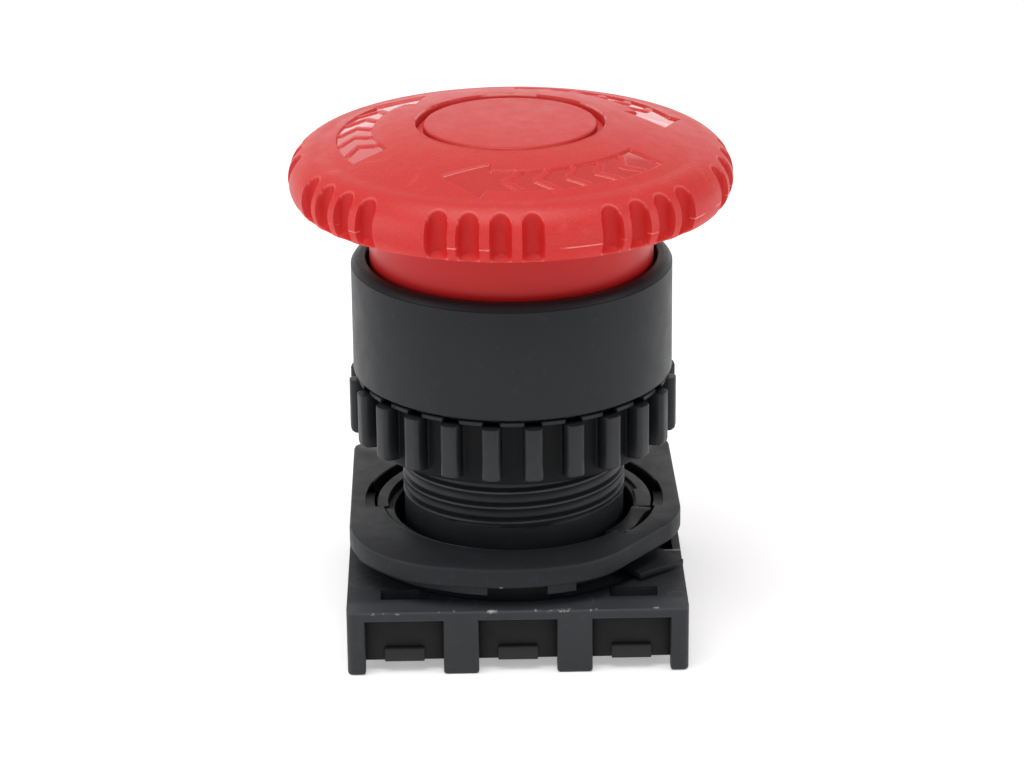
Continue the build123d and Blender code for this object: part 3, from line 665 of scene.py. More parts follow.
def head_dome():
    """The fluted mushroom head, with its three arrow recesses."""
    dome = arc3((HOLE_R, HEAD_TOP), (13.1, 47.25), SHOULDER, 90)
    quarter = math.sin(math.pi / 4)
    mid_r = SHOULDER[0] + (HEAD_R - SHOULDER[0]) * quarter
    mid_z = WIDEST_Z + (SHOULDER[1] - WIDEST_Z) * quarter
    shoulder = arc3(SHOULDER, (mid_r, mid_z), (HEAD_R, WIDEST_Z), 30)[1:]
    rim = arc3((HEAD_R, WIDEST_Z), RIM_MID, RIM_FOOT, 16)[1:]
    under = rounded(
        [
            (*RIM_FOOT, 0), (RIM_FOOT[0] - 0.12, RIM_FOOT[1], 0), (SHELL_BORE_R + 0.4, RIM_FOOT[1], 0.25),
            (SHELL_BORE_R, CEILING, 0.5), (BOSS_R, CEILING, 0.4), (BOSS_R, BOSS_FOOT, 0.2),
            (SCREW_HOLE_R, BOSS_FOOT, 0.1), (SCREW_HOLE_R, RECESS_FLOOR, 0.1),
            (HOLE_R, RECESS_FLOOR, 0.1), (HOLE_R, HEAD_TOP - 0.25, 0),
            (HOLE_R + 0.06, HEAD_TOP - 0.08, 0),
        ]
    )[1:]
    dome[0] = (HOLE_R + 0.2, dome[0][1])
    skin = soften_line(dome + shoulder + rim, 1.1)
    angles = even_angles(HEAD_STEPS)
    r, z = (np.repeat(np.array(c)[:, None], len(angles), 1) for c in zip(*(skin + under)))
    theta = np.radians(np.broadcast_to(angles, r.shape))
    top_rows, outer_rows = len(dome), len(skin)

    share = np.zeros(r.shape)
    x, y = r * np.cos(theta), r * np.sin(theta)
    share[:top_rows] = recess_share(x[:top_rows], y[:top_rows])
    z = z - ARROW_DEPTH * share

    # Each flute is an upright round groove: points inside it move in to its wall.
    group = (angles - FLUTE_FIRST_DEG + FLUTE_GROUP_DEG / 2) % FLUTE_GROUP_DEG - FLUTE_GROUP_DEG / 2
    nearest = np.clip(np.round(group / FLUTE_PITCH_DEG - 0.5) + 0.5, -1.5, 1.5) * FLUTE_PITCH_DEG
    off = np.radians(group - nearest)
    span = np.clip(FLUTE_R**2 - (FLUTE_CENTRE_R * np.sin(off)) ** 2, 0, None)
    wall = FLUTE_CENTRE_R * np.cos(off) - np.sqrt(span)
    soft = 0.06
    outer = r[:outer_rows].copy()
    filled = FLUTE_FILL * (1 - smooth_step(z[:outer_rows], RIM_FOOT[1], RIM_FOOT[1] + 0.65))
    wall = np.where(span > 0, wall * (1 - filled) + outer * filled, HEAD_R + 1)
    gap = np.clip(0.5 + 0.5 * (wall - outer) / soft, 0, 1)
    blended = wall * (1 - gap) + outer * gap - soft * gap * (1 - gap)
    r[:outer_rows] = np.where(span > 0, blended, outer)
    r[outer_rows] = np.minimum(r[outer_rows], r[outer_rows - 1] - 0.1)
    obj = ring_loft("head_dome", list(zip(r, z)), angles, 40)
    # The flute layer carries painted shade inside each flute, and the edge layer a painted highlight along
    # its rim; the material reads both.
    flute, edge = np.zeros(share.shape), np.zeros(share.shape)
    flute[:outer_rows] = np.clip((outer - wall) / 0.35, 0, 1)
    edge[:outer_rows] = np.exp(-(((wall - outer) / 0.1) ** 2))
    paint(obj, recess=np.clip(10 * share - 9, 0, 1), flute=flute, flute_edge=edge)
    return obj


put(head_dome(), "head", RED_HEAD, "red_head", "mushroom_cap")

CENTRE_R = 0.02         # a hole too small to see, where a ring closes on its axis
INSERT_TOP = high("cap_insert", 2)
INSERT_CEILING = RECESS_FLOOR + 1.6
INSERT_HOLLOW_R, INSERT_TOP_R, INSERT_FOOT_R = 4.2, 8, HOLE_R - 0.05
INSERT_STEP = INSERT_TOP - 0.7
insert_profile = [
    (CENTRE_R, INSERT_CEILING, 0), (INSERT_HOLLOW_R, INSERT_CEILING, 0.1),
    (INSERT_HOLLOW_R, RECESS_FLOOR, 0.1), (INSERT_FOOT_R, RECESS_FLOOR, 0.1),
    (INSERT_FOOT_R, INSERT_STEP, 0.1), (INSERT_TOP_R, INSERT_STEP, 0.1),
    (INSERT_TOP_R, INSERT_TOP, 0.3), (CENTRE_R, INSERT_TOP, 0),
]
put(lathe("head_insert", insert_profile), "head", RED_HEAD, "red_head", "cap_insert")

SKIRT_BORE_R = SKIRT_R - 1.45
skirt_profile = [(SKIRT_BORE_R, SKIRT_BOTTOM, 0.2), (SKIRT_R, SKIRT_BOTTOM, 0.3)]
skirt_profile += [(SKIRT_R, CEILING, 0), (SKIRT_BORE_R, CEILING, 0)]
put(lathe("head_skirt", skirt_profile), "head", RED_SKIRT, "red_skirt", "cap_skirt")

# ---- bezel sleeve ----
SLEEVE_BORE_R = SKIRT_R + 0.3
SLEEVE_HOLE_R = 11.2
sleeve_profile = [
    (SLEEVE_HOLE_R, SLEEVE_BOTTOM, 0.1), (SLEEVE_R, SLEEVE_BOTTOM, 0.12),
    (SLEEVE_R, SLEEVE_TOP - 0.66, 0.1), (SLEEVE_R - 0.08, SLEEVE_TOP - 0.6, 0),
    (SLEEVE_R - 0.1, SLEEVE_TOP - 0.52, 0), (SLEEVE_R - 0.4, SLEEVE_TOP - 0.16, 0.3),
    (SLEEVE_R - 0.8, SLEEVE_TOP, 0.3), (SLEEVE_BORE_R + 0.15, SLEEVE_TOP, 0.12),
    (SLEEVE_BORE_R, SLEEVE_TOP - 0.2, 0.1), (SLEEVE_BORE_R, FLANGE_Z, 0.1),
    (SLEEVE_HOLE_R, FLANGE_Z, 0.1),
]
put(lathe("bezel", sleeve_profile), "housing", BLACK_SLEEVE, "black_plastic", "bezel_sleeve")

GASKET_R, GASKET_BORE_R = 14.5, 10.65
GASKET_BOTTOM, GASKET_TOP = low("panel_gasket", 2), high("panel_gasket", 2)
gasket_profile = [(GASKET_BORE_R, GASKET_BOTTOM, 0.05), (GASKET_R, GASKET_BOTTOM, 0.12)]
gasket_profile += [(GASKET_R, GASKET_TOP, 0.12), (GASKET_BORE_R, GASKET_TOP, 0.05)]
put(lathe("gasket_ring", gasket_profile), "housing", RUBBER, "rubber", "panel_gasket")

# ---- washer and nut ----
RIBS = 24
PITCH = FULL_TURN / RIBS
RIB_START_DEG = 6.3
HUB_R = 13.9
RIB_FOOT, RIB_HEAD = 18.26, 23.46
TAB_R = 14.7
WASHER_BORE_R, NUT_BORE_R = 10.75, 10.62
WASHER_Z = (23.5, 23.95)


def around(half, offset):
    """Angles and values for a pattern round the ribs, from (degrees, value) pairs for half a rib."""
    whole = [(-a, v) for a, v in reversed(half) if a > 0] + half[:-1]
    angles = [offset + k * PITCH + a for k in range(RIBS) for a, _ in whole]
    return np.array(angles), np.array([v for _, v in whole] * RIBS, float)


def lock_washer():
    """Thin washer with a square tab in each gap between the nut's ribs."""
    half = [(a, TAB_R) for a in (0, 2.5, 4.2)] + [(4.45, TAB_R - 0.1)]
    half += [(a, HUB_R) for a in (4.75, 5.6, 6.6, 7.5)]
    angles, edge = around(half, RIB_START_DEG - PITCH / 2)
    return ring_loft("notched_washer", eased_section(WASHER_BORE_R, edge, *WASHER_Z), angles)


def lock_nut():
    """Ribbed ring nut: upright ribs with rounded edges on a plain hub."""
    half = [(0, 1), (1.1, 1), (1.75, 0.99), (2.25, 0.965), (2.7, 0.91), (3.05, 0.82), (3.25, 0.7)]
    half += [(3.35, 0.5), (3.43, 0.16), (3.6, 0.05), (4, 0.01)] + [(a, 0) for a in (4.6, 5.4, 6.5, 7.5)]
    angles, share = around(half, RIB_START_DEG)
    full_rib = share * (SLEEVE_R + 0.45 - HUB_R)
    chamfer = 0.35
    top = RIB_HEAD - 0.06
    rows = [
        (NUT_BORE_R + chamfer, NUT_BOTTOM), (HUB_R - chamfer, NUT_BOTTOM),
        (HUB_R - 0.1, NUT_BOTTOM + 0.08), (HUB_R, NUT_BOTTOM + 0.3), (HUB_R + 0.001, RIB_FOOT - 0.02),
    ]
    foot = [(0.55, 0.005), (0.85, 0.06), (0.97, 0.22), (1, 0.45)]
    head = [(1, 0.16), (0.985, 0.05), (0.93, 0)]
    rows += [(HUB_R + full_rib * amount, RIB_FOOT + up) for amount, up in foot]
    rows += [(HUB_R + full_rib * amount, RIB_HEAD - down) for amount, down in head]
    rows += [
        (HUB_R - 0.1, RIB_HEAD - 0.001), (HUB_R - 0.25, top), (NUT_BORE_R + chamfer, top),
        (NUT_BORE_R, top - chamfer), (NUT_BORE_R, NUT_BOTTOM + chamfer),
    ]
    return ring_loft("ribbed_nut", rows, angles, 35)


put(lock_washer(), "washer", BLACK_NUT, "black_plastic", "lock_washer")
put(lock_nut(), "nut", BLACK_NUT, "black_plastic", "lock_nut")

# ---- threaded barrel ----
THREAD_R = 10.55
THREAD_DEPTH = 0.48
THREAD_PITCH = 1.5
THREAD_FOOT = 11.8
STEM_R = 10.45
STEM_FOOT = 6.75
STEM_BORE_R = 8.4
DISC_R = 13.55          # the flange that stands in the sleeve
DISC_TOP = 26.5
TOWER_R, TOWER_TOP, TOWER_BORE_R = 11.3, 36, 5.6
CHAMBER_R, CHAMBER_TOP = 8, 27.65
SPRING_SEAT = 15.2
GUIDE_R, GUIDE_FOOT = 3.75, 14.2


def barrel():
    """The barrel with a true right-hand screw thread below the bezel and its tower inside.

    The thread's rows climb by one pitch per turn, so at the seam each joins the row one turn up.
    """
    angles = even_angles(BARREL_STEPS)
    below = [(STEM_BORE_R, STEM_FOOT), (STEM_R - 0.15, STEM_FOOT), (STEM_R, STEM_FOOT + 0.15)]
    below.append((STEM_R, THREAD_FOOT - 0.2))
    above = [(THREAD_R, FLANGE_Z), (DISC_R - 0.05, FLANGE_Z), (DISC_R, FLANGE_Z + 0.05)]
    above += [(DISC_R, DISC_TOP - 0.05), (DISC_R - 0.1, DISC_TOP), (TOWER_R, DISC_TOP)]
    above += [(TOWER_R, TOWER_TOP - 0.2), (TOWER_R - 0.2, TOWER_TOP), (TOWER_BORE_R + 0.15, TOWER_TOP)]
    above += [(TOWER_BORE_R, TOWER_TOP - 0.15), (TOWER_BORE_R, CHAMBER_TOP), (CHAMBER_R, CHAMBER_TOP)]
    above += [(r, SPRING_SEAT) for r in (CHAMBER_R, GUIDE_R)]
    above += [(r, GUIDE_FOOT) for r in (GUIDE_R, STEM_BORE_R)]
    tooth = [(0, 0), (0.06, 0.01), (0.2, 0.1), (0.34, 0.19), (0.42, 0.17), (0.5, 0.06), (0.54, 0)]
    tooth += [(0.59, 0), (0.63, 0.08), (0.67, 0.3), (0.75, 0.85), (0.8, 1), (0.86, 1), (0.92, 0.1)]
    foot, head = THREAD_FOOT, SLEEVE_BOTTOM
    rows = list(below)
    for turn in range(-1, int((head - foot) / THREAD_PITCH) + 2):
        for phase, depth in tooth:
            free = foot + (turn + phase + angles / FULL_TURN) * THREAD_PITCH
            z = np.clip(free, foot, head)
            cut = THREAD_DEPTH * depth * smooth_step(z, foot, foot + 0.4) * (z < head)
            rows.append((THREAD_R - cut - (THREAD_R - STEM_R) * (z <= foot), z))
    first, last = len(below), len(rows) - 1
    rows += above
    seam = [min(i + len(tooth), last) if first <= i <= last else i for i in range(len(rows))]
    obj = ring_loft("screwed_barrel", rows, angles, 25, seam)
    x, y, z = places(obj)
    phase = ((z - foot) / THREAD_PITCH - np.arctan2(y, x) / (2 * math.pi)) % 1
    on_thread = (np.hypot(x, y) > STEM_R - 0.1) & (z > foot + 0.1) & (z < head - 0.1)
    # Layers for the material: a painted highlight on the thread's edge and painted shade in the hollow
    # under it.
    on_edge = on_thread & (phase > 0.53) & (phase < 0.65)
    hollow = on_thread * np.clip(1 - np.abs(phase - 0.34) / 0.2, 0, 1)
    paint(obj, worn=on_edge, hollow=hollow)
    return obj


put(barrel(), "housing", BLACK_BARREL, "black_plastic", "threaded_barrel")

# ---- collar plate ----
PLATE_BOTTOM = 8.55
PLATE_LIP = 9.75
STEP_DEG = 0.06         # angle over which a radius jumps
CRESCENT_R = 14.2
RAMP_INNER_R = 13.35
FRONT_BORE_R = 12.5
BACK_BORE_R = 13.45
LUG_BORE_R = 13.55
LEFT_CRESCENT_DEG = (120, 188)
RIGHT_CRESCENT_DEG = (-11, 60)
LUG_BORE_DEG = (-42, -11)
TONGUE_R = (12.05, 13.1)
TONGUE_TOP = 10.3
TONGUE_DEG = (141, 186.8)
TONGUE_ROOT_DEG = 189.5
TONGUE_ROOT_TOP = 9.95
LIP_END_DEG = 241
LIP_R = 12.42
LIP_TIP_R = 11.7
FLANGE_R = (14.8, 16.75)
FLANGE_BOTTOM = 7.65
FLANGES_DEG = ((-152, -99.6), (-80.4, -71))
RAMP_DEG = 26
RAMP_LOW = 8.75
RAMP_CURVE = 6          # the higher, the later a ramp falls away
DEEP_DEG = 17           # how far along its ramp a slot is at its darkest


def plate_outline():
    """Closed plan of the collar plate: square back, round front, cut-away front right corner."""
    left, front_left, front_right = (-15.6, -6), (-5.4, -16.5), (6.1, -15.8)
    cut_start, cut_end, right = (10.5, -11.9), (14.6, -6.6), (15.8, -2)
    points = arc3(left, (-12.3, -13.2), front_left, 24)
    points += arc3(front_left, (0, -17.05), front_right, 24)[1:]
    points += arc3(front_right, (8.6, -14.1), cut_start, 12)[1:]
    points += arc3(cut_end, (15.5, -4.4), right, 12)
    corner = arc3((15.61, 13.5), (15.31, 14.21), (14.6, 14.5), 8)
    return np.array(points + corner + [(-x, y) for x, y in reversed(corner)])


def ray_radius(outline, angles_deg):
    """How far each ray from the axis runs before it leaves the outline."""
    angles = np.radians(angles_deg)
    dx, dy = np.cos(angles), np.sin(angles)
    radius = np.zeros(len(angles))
    for a, b in zip(outline, np.roll(outline, -1, axis=0)):
        ex, ey = b - a
        cross = dx * ey - dy * ex
        with np.errstate(divide="ignore", invalid="ignore"):
            along = (a[0] * ey - a[1] * ex) / cross
            part = (a[0] * dy - a[1] * dx) / cross
        hit = (np.abs(cross) > 1e-12) & (along > 0) & (part >= -1e-9) & (part <= 1 + 1e-9)
        radius = np.where(hit, np.maximum(radius, along), radius)
    return radius


def inside(angles, span):
    """True where an angle lies in the span, whichever turn it is counted in."""
    return (angles - span[0]) % FULL_TURN < span[1] - span[0]


def stepped_angles(steps):
    """Even angles over one turn, with a close pair at each step."""
    pitch = 1.5
    angles = set(np.round(np.arange(0, FULL_TURN, pitch), 3))
    for at in steps:
        near = [a for a in angles if abs((a - at + 180) % FULL_TURN - 180) < pitch / 3]
        angles -= set(near)
        angles |= {round((at + half) % FULL_TURN, 3) for half in (-STEP_DEG / 2, STEP_DEG / 2)}
    return np.array(sorted(angles))


def slot_run(angles):
    """How many degrees each angle lies from the shallow end of its crescent slot."""
    left, right = LEFT_CRESCENT_DEG[1] - angles, angles - RIGHT_CRESCENT_DEG[0]
    return np.minimum(left % FULL_TURN, right % FULL_TURN)


def collar_plate():
    """The plate with its stepped bore and the two crescent slots that run out as ramps."""
    steps = (*LEFT_CRESCENT_DEG, *RIGHT_CRESCENT_DEG, LUG_BORE_DEG[0])
    angles = stepped_angles(steps)
    outer = ray_radius(plate_outline(), angles)
    bore = np.full(len(angles), FRONT_BORE_R)
    bore[inside(angles, (0, 180))] = BACK_BORE_R
    bore[inside(angles, LUG_BORE_DEG)] = LUG_BORE_R
    crescent = inside(angles, LEFT_CRESCENT_DEG) | inside(angles, RIGHT_CRESCENT_DEG)
    bore[crescent] = CRESCENT_R
    to_end = slot_run(angles)
    ramp = crescent & (to_end < RAMP_DEG)
    drop = np.clip(to_end / RAMP_DEG, 0, 1) ** RAMP_CURVE
    shelf_z = np.where(ramp, PLATE_TOP - 0.02 + (RAMP_LOW - PLATE_TOP) * drop, PLATE_TOP - 0.1)
    shelf_r = np.where(ramp, RAMP_INNER_R, bore)
    lip_z = np.minimum(shelf_z - 0.1, PLATE_LIP)
    low_bore = np.maximum(shelf_r, RAMP_INNER_R + 0.05)
    rows = [
        (outer - 0.15, PLATE_BOTTOM), (outer, PLATE_BOTTOM + 0.15), (outer, PLATE_TOP - 0.3),
        (outer - 0.07, PLATE_TOP - 0.1), (outer - 0.26, PLATE_TOP), (bore + 0.45, PLATE_TOP),
        (bore + 0.1, PLATE_TOP - 0.01), (bore, np.minimum(shelf_z, PLATE_TOP - 0.1)),
        (shelf_r, shelf_z - 0.01), (shelf_r, lip_z), (low_bore, lip_z - 0.01), (low_bore, PLATE_BOTTOM),
    ]
    parts = [ring_loft("collar_body", rows, angles, 32)]
    for ends in FLANGES_DEG:
        span = np.linspace(*ends, 24)
        edge = np.minimum(ray_radius(plate_outline(), span) - 0.3, FLANGE_R[1])
        parts.append(arc_block("flange", span, FLANGE_R[0], edge, FLANGE_BOTTOM, PLATE_BOTTOM + 0.05))
    tongue, root = np.linspace(*TONGUE_DEG, 40), np.linspace(TONGUE_DEG[1], TONGUE_ROOT_DEG, 6)
    lip = np.linspace(LEFT_CRESCENT_DEG[1] + 0.3, LIP_END_DEG, 40)
    lip_inner = np.linspace(LIP_TIP_R, LIP_R - 0.1, len(lip))
    parts.append(arc_block("tongue", tongue, *TONGUE_R, PLATE_LIP, TONGUE_TOP))
    parts.append(arc_block("tongue_root", root, *TONGUE_R, PLATE_LIP, TONGUE_ROOT_TOP))
    parts.append(arc_block("lip", lip, lip_inner, LIP_R, PLATE_LIP, TONGUE_TOP))
    collar = join("collar", parts)
    x, y, z = places(collar)
    angle, radius = np.degrees(np.arctan2(y, x)), np.hypot(x, y)
    to_end = slot_run(angle)
    in_slot = (radius > RAMP_INNER_R - 0.1) & (radius < CRESCENT_R + 0.05) & (z < PLATE_TOP)
    by_tongue = (radius > TONGUE_R[0] - 0.05) & (radius < TONGUE_R[1] + 0.05) & (z < TONGUE_TOP + 0.05)
    notch = by_tongue & inside(angle, (TONGUE_DEG[1] - 0.3, TONGUE_ROOT_DEG + 0.1))
    # The deep layer is painted shade: the material darkens and dulls the ramps towards the slots' deep ends
    # and the notch by the tongue.
    ramp = in_slot & (to_end < RAMP_DEG)
    paint(collar, deep=np.maximum(ramp * np.clip(to_end / DEEP_DEG, 0, 1), 0.9 * notch))
    return collar


put(collar_plate(), "housing", BLACK_PLATE, "black_plastic", "collar_plate")

# ---- lock ring ----
RING_R = 13.1
RING_BORE_R = 11.4
RING_BOTTOM = 6.45
RING_TOP = 9.65
EAR_TOP = 10.3
EAR_DEG = (-11, 118)
NARROW_STEP_DEG = (9.7, 118)
STOP_LUG_DEG = (-42, -11)
STOP_LUG_R = 13.3
STOP_LUG_BORE_R = 11.3
LUG_SLOPE = 0.2         # how far the lug falls away towards the barrel
LEDGE_R = 10.75
LEDGE_BOTTOM = 8.05
LEDGES_DEG = ((80, 100), (260, 280))
LEVER_DEG = -53
LEVER_REACH, LEVER_SIDES, LEVER_Z = (12.2, 15.85), (2.5, 7.8), (6.65, 7.25)


def lock_ring():
    """The bayonet ring with its long ear, its sloped stop lug and its flat lever."""
    ends = [*EAR_DEG, NARROW_STEP_DEG[0], STOP_LUG_DEG[0]]
    ends += [a for span in LEDGES_DEG for a in span]
    angles = stepped_angles(ends)
    ear, lug = inside(angles, EAR_DEG), inside(angles, STOP_LUG_DEG)
    ledge = np.any([inside(angles, span) for span in LEDGES_DEG], axis=0)
    along = (STOP_LUG_DEG[1] - angles) % FULL_TURN
    joint = np.clip(1 - np.abs((angles - STOP_LUG_DEG[1] + 180) % FULL_TURN - 180) / 0.6, 0, 1)
    slope = LUG_SLOPE * smooth_step(along, 0, 16)
    waist = 0.45 * smooth_step(along, 1, 7) * smooth_step(-along, -26, -9)
    core = np.select([ledge, lug], [LEDGE_R, STOP_LUG_BORE_R], RING_BORE_R)
    rim = np.where(lug, STOP_LUG_R - waist, RING_R)
    step_r = np.where(inside(angles, NARROW_STEP_DEG), RING_BORE_R + 0.65, RING_BORE_R + 0.2)
    ear_z = np.where(ear | lug, EAR_TOP, RING_TOP) - 0.1 * joint
    lip_z = np.select([lug, ear], [EAR_TOP - slope - 0.05, EAR_TOP - 0.3], RING_TOP)
    rows = [
        (RING_BORE_R, RING_BOTTOM), (RING_BORE_R, LEDGE_BOTTOM), (core, LEDGE_BOTTOM + 0.07),
        (core, lip_z - 0.08), (core + 0.07, lip_z), (step_r - 0.03, lip_z + 0.005),
        (step_r, np.where(lug, lip_z + 0.02, ear_z - 0.06)),
        (step_r + 0.07, np.where(lug, lip_z + 0.04, ear_z)), (rim - 0.14, ear_z),
        (rim - 0.03, ear_z - 0.05), (rim, ear_z - 0.16), (rim, LEDGE_BOTTOM + 0.1),
        (RING_R, LEDGE_BOTTOM), (RING_R, RING_BOTTOM + 0.12), (RING_R - 0.12, RING_BOTTOM),
    ]
    body = ring_loft("ring_body", rows, angles, 32)
    out, across = np.array(polar(1, LEVER_DEG)), np.array(polar(1, LEVER_DEG + 90))
    (u0, u1), (v0, v1) = LEVER_REACH, LEVER_SIDES
    plan = [tuple(u * out + v * across) for u, v in ((u0, v0), (u1, v0), (u1, v1), (u0, v1))]
    return join("bayonet_ring", [body, slab("ring_lever", plan, *LEVER_Z, 0.09)])


put(lock_ring(), "ring", BLACK_PLATE, "black_plastic", "lock_ring")

# ---- latch bars ----
BAY_PITCH = 10.47
WINDOW_HALF = 3.6
BAR_BOTTOM = low("latch_bar_front", 2)
BAR_TOP = high("latch_bar_front", 2)
BAR_BACK = BAR_FACE - 1
SNAP_HALF = 1.85
SNAP_TOP = BAR_BOTTOM + 1.3
SNAP_FACE = BAR_FACE + 0.5
TIE_Z = (1.2, 1.9)
SEAT = 0.06             # how far a panel runs into the carrier round its window


def latch_bar(name, out):
    """A bar that closes the carrier's windows, with a snap tab in each and a tie along its back."""

    def bar_box(x0, x1, near, far, z0, z1, edge):
        y0, y1 = sorted(CARRIER_MID_Y + out * y for y in (near, far))
        return slab("part", [(x0, y0), (x1, y0), (x1, y1), (x0, y1)], z0, z1, edge)

    reach = WINDOW_HALF + SEAT
    tie = BAY_PITCH + WINDOW_HALF
    parts = [bar_box(-tie, tie, BAR_BACK - 0.6, BAR_BACK + 0.1, *TIE_Z, 0.05)]
    for x in (-BAY_PITCH, 0, BAY_PITCH):
        left, right = x - SNAP_HALF, x + SNAP_HALF
        parts.append(bar_box(x - reach, x + reach, BAR_BACK, BAR_FACE, BAR_BOTTOM, BAR_TOP + SEAT, 0.03))
        parts.append(bar_box(left, right, BAR_FACE - 0.3, SNAP_FACE, BAR_BOTTOM, SNAP_TOP, 0.13))
    return join(name, parts)


put(latch_bar("bar_front", -1), "housing", BLACK_BAR, "black_plastic", "latch_bar_front")
put(latch_bar("bar_back", 1), "housing", BLACK_BAR, "black_plastic", "latch_bar_back")

# ---- springs ----
def wire_spring(name, node, bodies, axis, z, radius, wire, start, end, turns, closed=1):
    """A compression spring with its end turns closed up, along X (axis 0) or Z (axis 2).

    It rides on one body; given two, it is left where it is built, between its start and end.
    """
    steps, sides = int(turns * 40), 10
    t = np.linspace(0, 1, steps + 1)
    slow = np.clip(np.minimum(t, 1 - t) * turns / closed, 0, 1)
    speed = 0.25 + 0.75 * slow * slow * (3 - 2 * slow)
    travel = np.concatenate([[0], np.cumsum((speed[1:] + speed[:-1]) / 2)])
    along = start + (end - start) * travel / travel[-1]
    turn = 2 * np.pi * turns * t
    u, v, w = np.roll(np.eye(3), -1 - axis, axis=0)
    radial = np.cos(turn)[:, None] * u + np.sin(turn)[:, None] * v
    spine = np.array((0, 0, z)) + radial * radius + along[:, None] * w
    tangent = np.gradient(spine, axis=0)
    tangent /= np.linalg.norm(tangent, axis=1)[:, None]
    up = np.cross(tangent, radial)
    side = 2 * np.pi * np.arange(sides) / sides
    ring = radial[:, None] * np.cos(side)[None, :, None] + up[:, None] * np.sin(side)[None, :, None]
    coil = tube(name, (spine[:, None] + wire * ring).reshape(-1, 3), sides)
    coil.data.materials.append(STEEL)
    if len(bodies) == 1:
        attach(coil, *bodies)
    else:
        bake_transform(coil)
    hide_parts(node)


SLIDER_FLANGE = 26.6
PIN_Z = 30
PIN_OUTER, BAND_INNER = 9.3, 11.3

wire_spring(
    "push_coil", "return_spring", ("housing", "slider"), axis=2, z=0, radius=5.2, wire=0.4,
    start=SPRING_SEAT + 0.42, end=SLIDER_FLANGE - 0.42, turns=5,
)
wire_spring(
    "reset_coil", "reset_spring", ("head",), axis=2, z=0, radius=4, wire=0.35,
    start=38.4, end=41.3, turns=3.2, closed=0.7,
)
for side, sign in (("left", -1), ("right", 1)):
    wire_spring(
        f"latch_coil_{side}", f"latch_spring_{side}", (f"pin_{side}", "housing"),
        axis=0, z=PIN_Z, radius=0.95, wire=0.14,
        start=sign * (PIN_OUTER + 0.16), end=sign * (BAND_INNER - 0.16), turns=2.2, closed=0.5,
    )

# ---- carried-over CAD pieces ----
def mark_edges(obj):
    """Mark for rounding the edges round the windows and feet of the carrier's CAD mesh."""
    mesh = obj.data
    half_x, half_y = 15, 15.7
    of_loop = np.zeros(len(mesh.loops), int)
    mesh.loops.foreach_get("edge_index", of_loop)
    outline = np.bincount(of_loop, minlength=len(mesh.edges)) == 1
    ends = np.array([edge.vertices[:] for edge in mesh.edges])
    x, y, z = places(obj)
    on_face = (np.abs(y - CARRIER_MID_Y) > half_y) & (z < CARRIER_TOP - 0.05) & (np.abs(x) < half_x)
    underfoot = z < 0.05
    paint(obj, "EDGE", bevel_weight_edge=outline & (on_face[ends].all(1) | underfoot[ends].all(1)))


def soften(obj, width):
    """Round the edges of a CAD piece a little."""
    weld = obj.modifiers.new("weld", "WELD")
    weld.merge_threshold = 1e-6
    bevel = obj.modifiers.new("edges", "BEVEL")
    bevel.width = width * MM
    bevel.segments = 2
    bevel.limit_method = "ANGLE"
    bevel.angle_limit = math.radians(35)
    return bevel


def dress(node, material, width=0):
    """Give a CAD piece its material, and round its edges by a width."""
    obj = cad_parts[node]
    obj.data.materials.clear()
    obj.data.materials.append(material)
    return soften(obj, width) if width else None


dress("detent_leaf", STEEL)
dress("latch_band", STEEL)
dress("barrel_seal", RUBBER)
dress("slider", BLACK_INNER, 0.12)
dress("pusher_foot", BLACK_INNER, 0.12)
dress("cap_screw", STEEL, 0.06)
dress("spindle", ACETAL, 0.08)
dress("release_cam", ACETAL, 0.08)
dress("latch_pin_left", ACETAL, 0.1)
dress("latch_pin_right", ACETAL, 0.1)

mark_edges(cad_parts["contact_carrier"])
carrier_edges = dress("contact_carrier", BLACK_CARRIER, 0.24)
carrier_edges.limit_method = "WEIGHT"
carrier_edges.use_clamp_overlap = False

# ---- floor, light and camera ----
def make_floor():
    """A plain white floor, far wider than the object."""
    half = 1500
    corners = [(x * half, y * half, -0.02) for x, y in ((-1, -1), (1, -1), (1, 1), (-1, 1))]
    floor = mesh_object("floor", corners, [(0, 1, 2, 3)])
    m = Nodes("floor_white")
    m.colour(m.mix(m.noise(3, 1), (0.9, 0.9, 0.9), (0.92, 0.92, 0.92)))
    m.set(Roughness=0.9, Specular_IOR_Level=0.1, Emission_Color=(1, 1, 1), Emission_Strength=0.36)
    floor.data.materials.append(m.material)


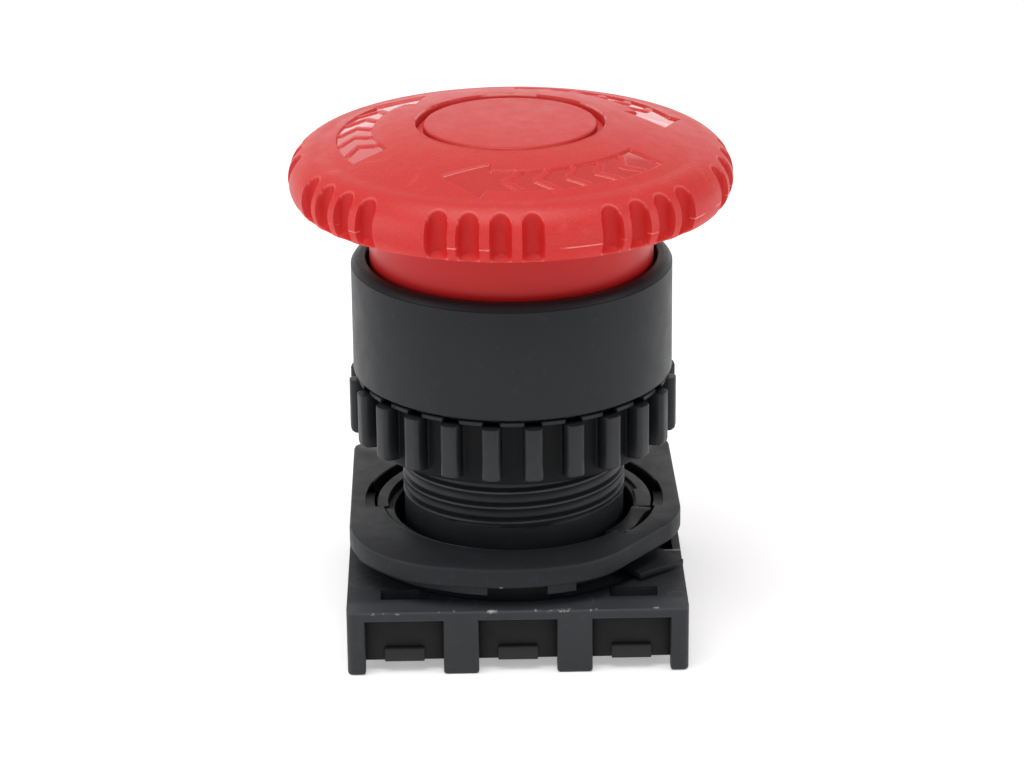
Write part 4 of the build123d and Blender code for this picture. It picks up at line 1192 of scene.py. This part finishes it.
def area_light(name, place, target, size, watts):
    light = bpy.data.lights.new(name, "AREA")
    light.shape = "RECTANGLE"
    light.size, light.size_y = (s * MM for s in size)
    light.energy = watts
    obj = bpy.data.objects.new(name, light)
    obj.location = Vector(place) * MM
    obj.rotation_euler = (Vector(target) - Vector(place)).to_track_quat("-Z", "Y").to_euler()
    obj.visible_camera = False
    bpy.context.scene.collection.objects.link(obj)


def make_light():
    world = bpy.data.worlds.new("studio")
    world.use_nodes = True
    background = world.node_tree.nodes["Background"]
    background.inputs["Color"].default_value = (1, 1, 1, 1)
    background.inputs["Strength"].default_value = 0.29
    bpy.context.scene.world = world
    area_light("top_soft", (-50, -110, 510), (0, 0, 30), (420, 420), 1.95)
    area_light("left_soft", (-480, -200, 180), (0, 0, 25), (300, 300), 0.68)
    area_light("right_soft", (480, -200, 180), (0, 0, 25), (300, 300), 0.6)
    area_light("back_soft", (0, 520, 230), (0, 0, 30), (760, 240), 0.4)
    area_light("sweep", (0, 900, 70), (0, 0, 50), (2400, 280), 2.2)


CAMERA_TARGET = (-0.08, 0, 22.32)
CAMERA_ELEVATION_DEG = 21.085
CAMERA_DISTANCE = 341.75
CAMERA_LENS = 127.13
CAMERA_TURN_DEG = -0.8
CAMERA_ROLL_DEG = -0.6


def make_camera():
    """The camera stands in front, about 21 degrees above the carrier's level."""
    turn, rise = math.radians(CAMERA_TURN_DEG), math.radians(CAMERA_ELEVATION_DEG)
    back = Vector((math.sin(turn) * math.cos(rise), -math.cos(turn) * math.cos(rise), math.sin(rise)))
    data = bpy.data.cameras.new("camera")
    data.lens = CAMERA_LENS
    data.clip_start = 0.01
    camera = bpy.data.objects.new("camera", data)
    camera.location = (Vector(CAMERA_TARGET) + back * CAMERA_DISTANCE) * MM
    camera.rotation_euler = (-back).to_track_quat("-Z", "Y").to_euler()
    camera.rotation_euler.rotate_axis("Z", math.radians(CAMERA_ROLL_DEG))
    bpy.context.scene.collection.objects.link(camera)
    bpy.context.scene.camera = camera


make_floor()
make_light()
make_camera()
bpy.context.scene.view_settings.view_transform = "Standard"
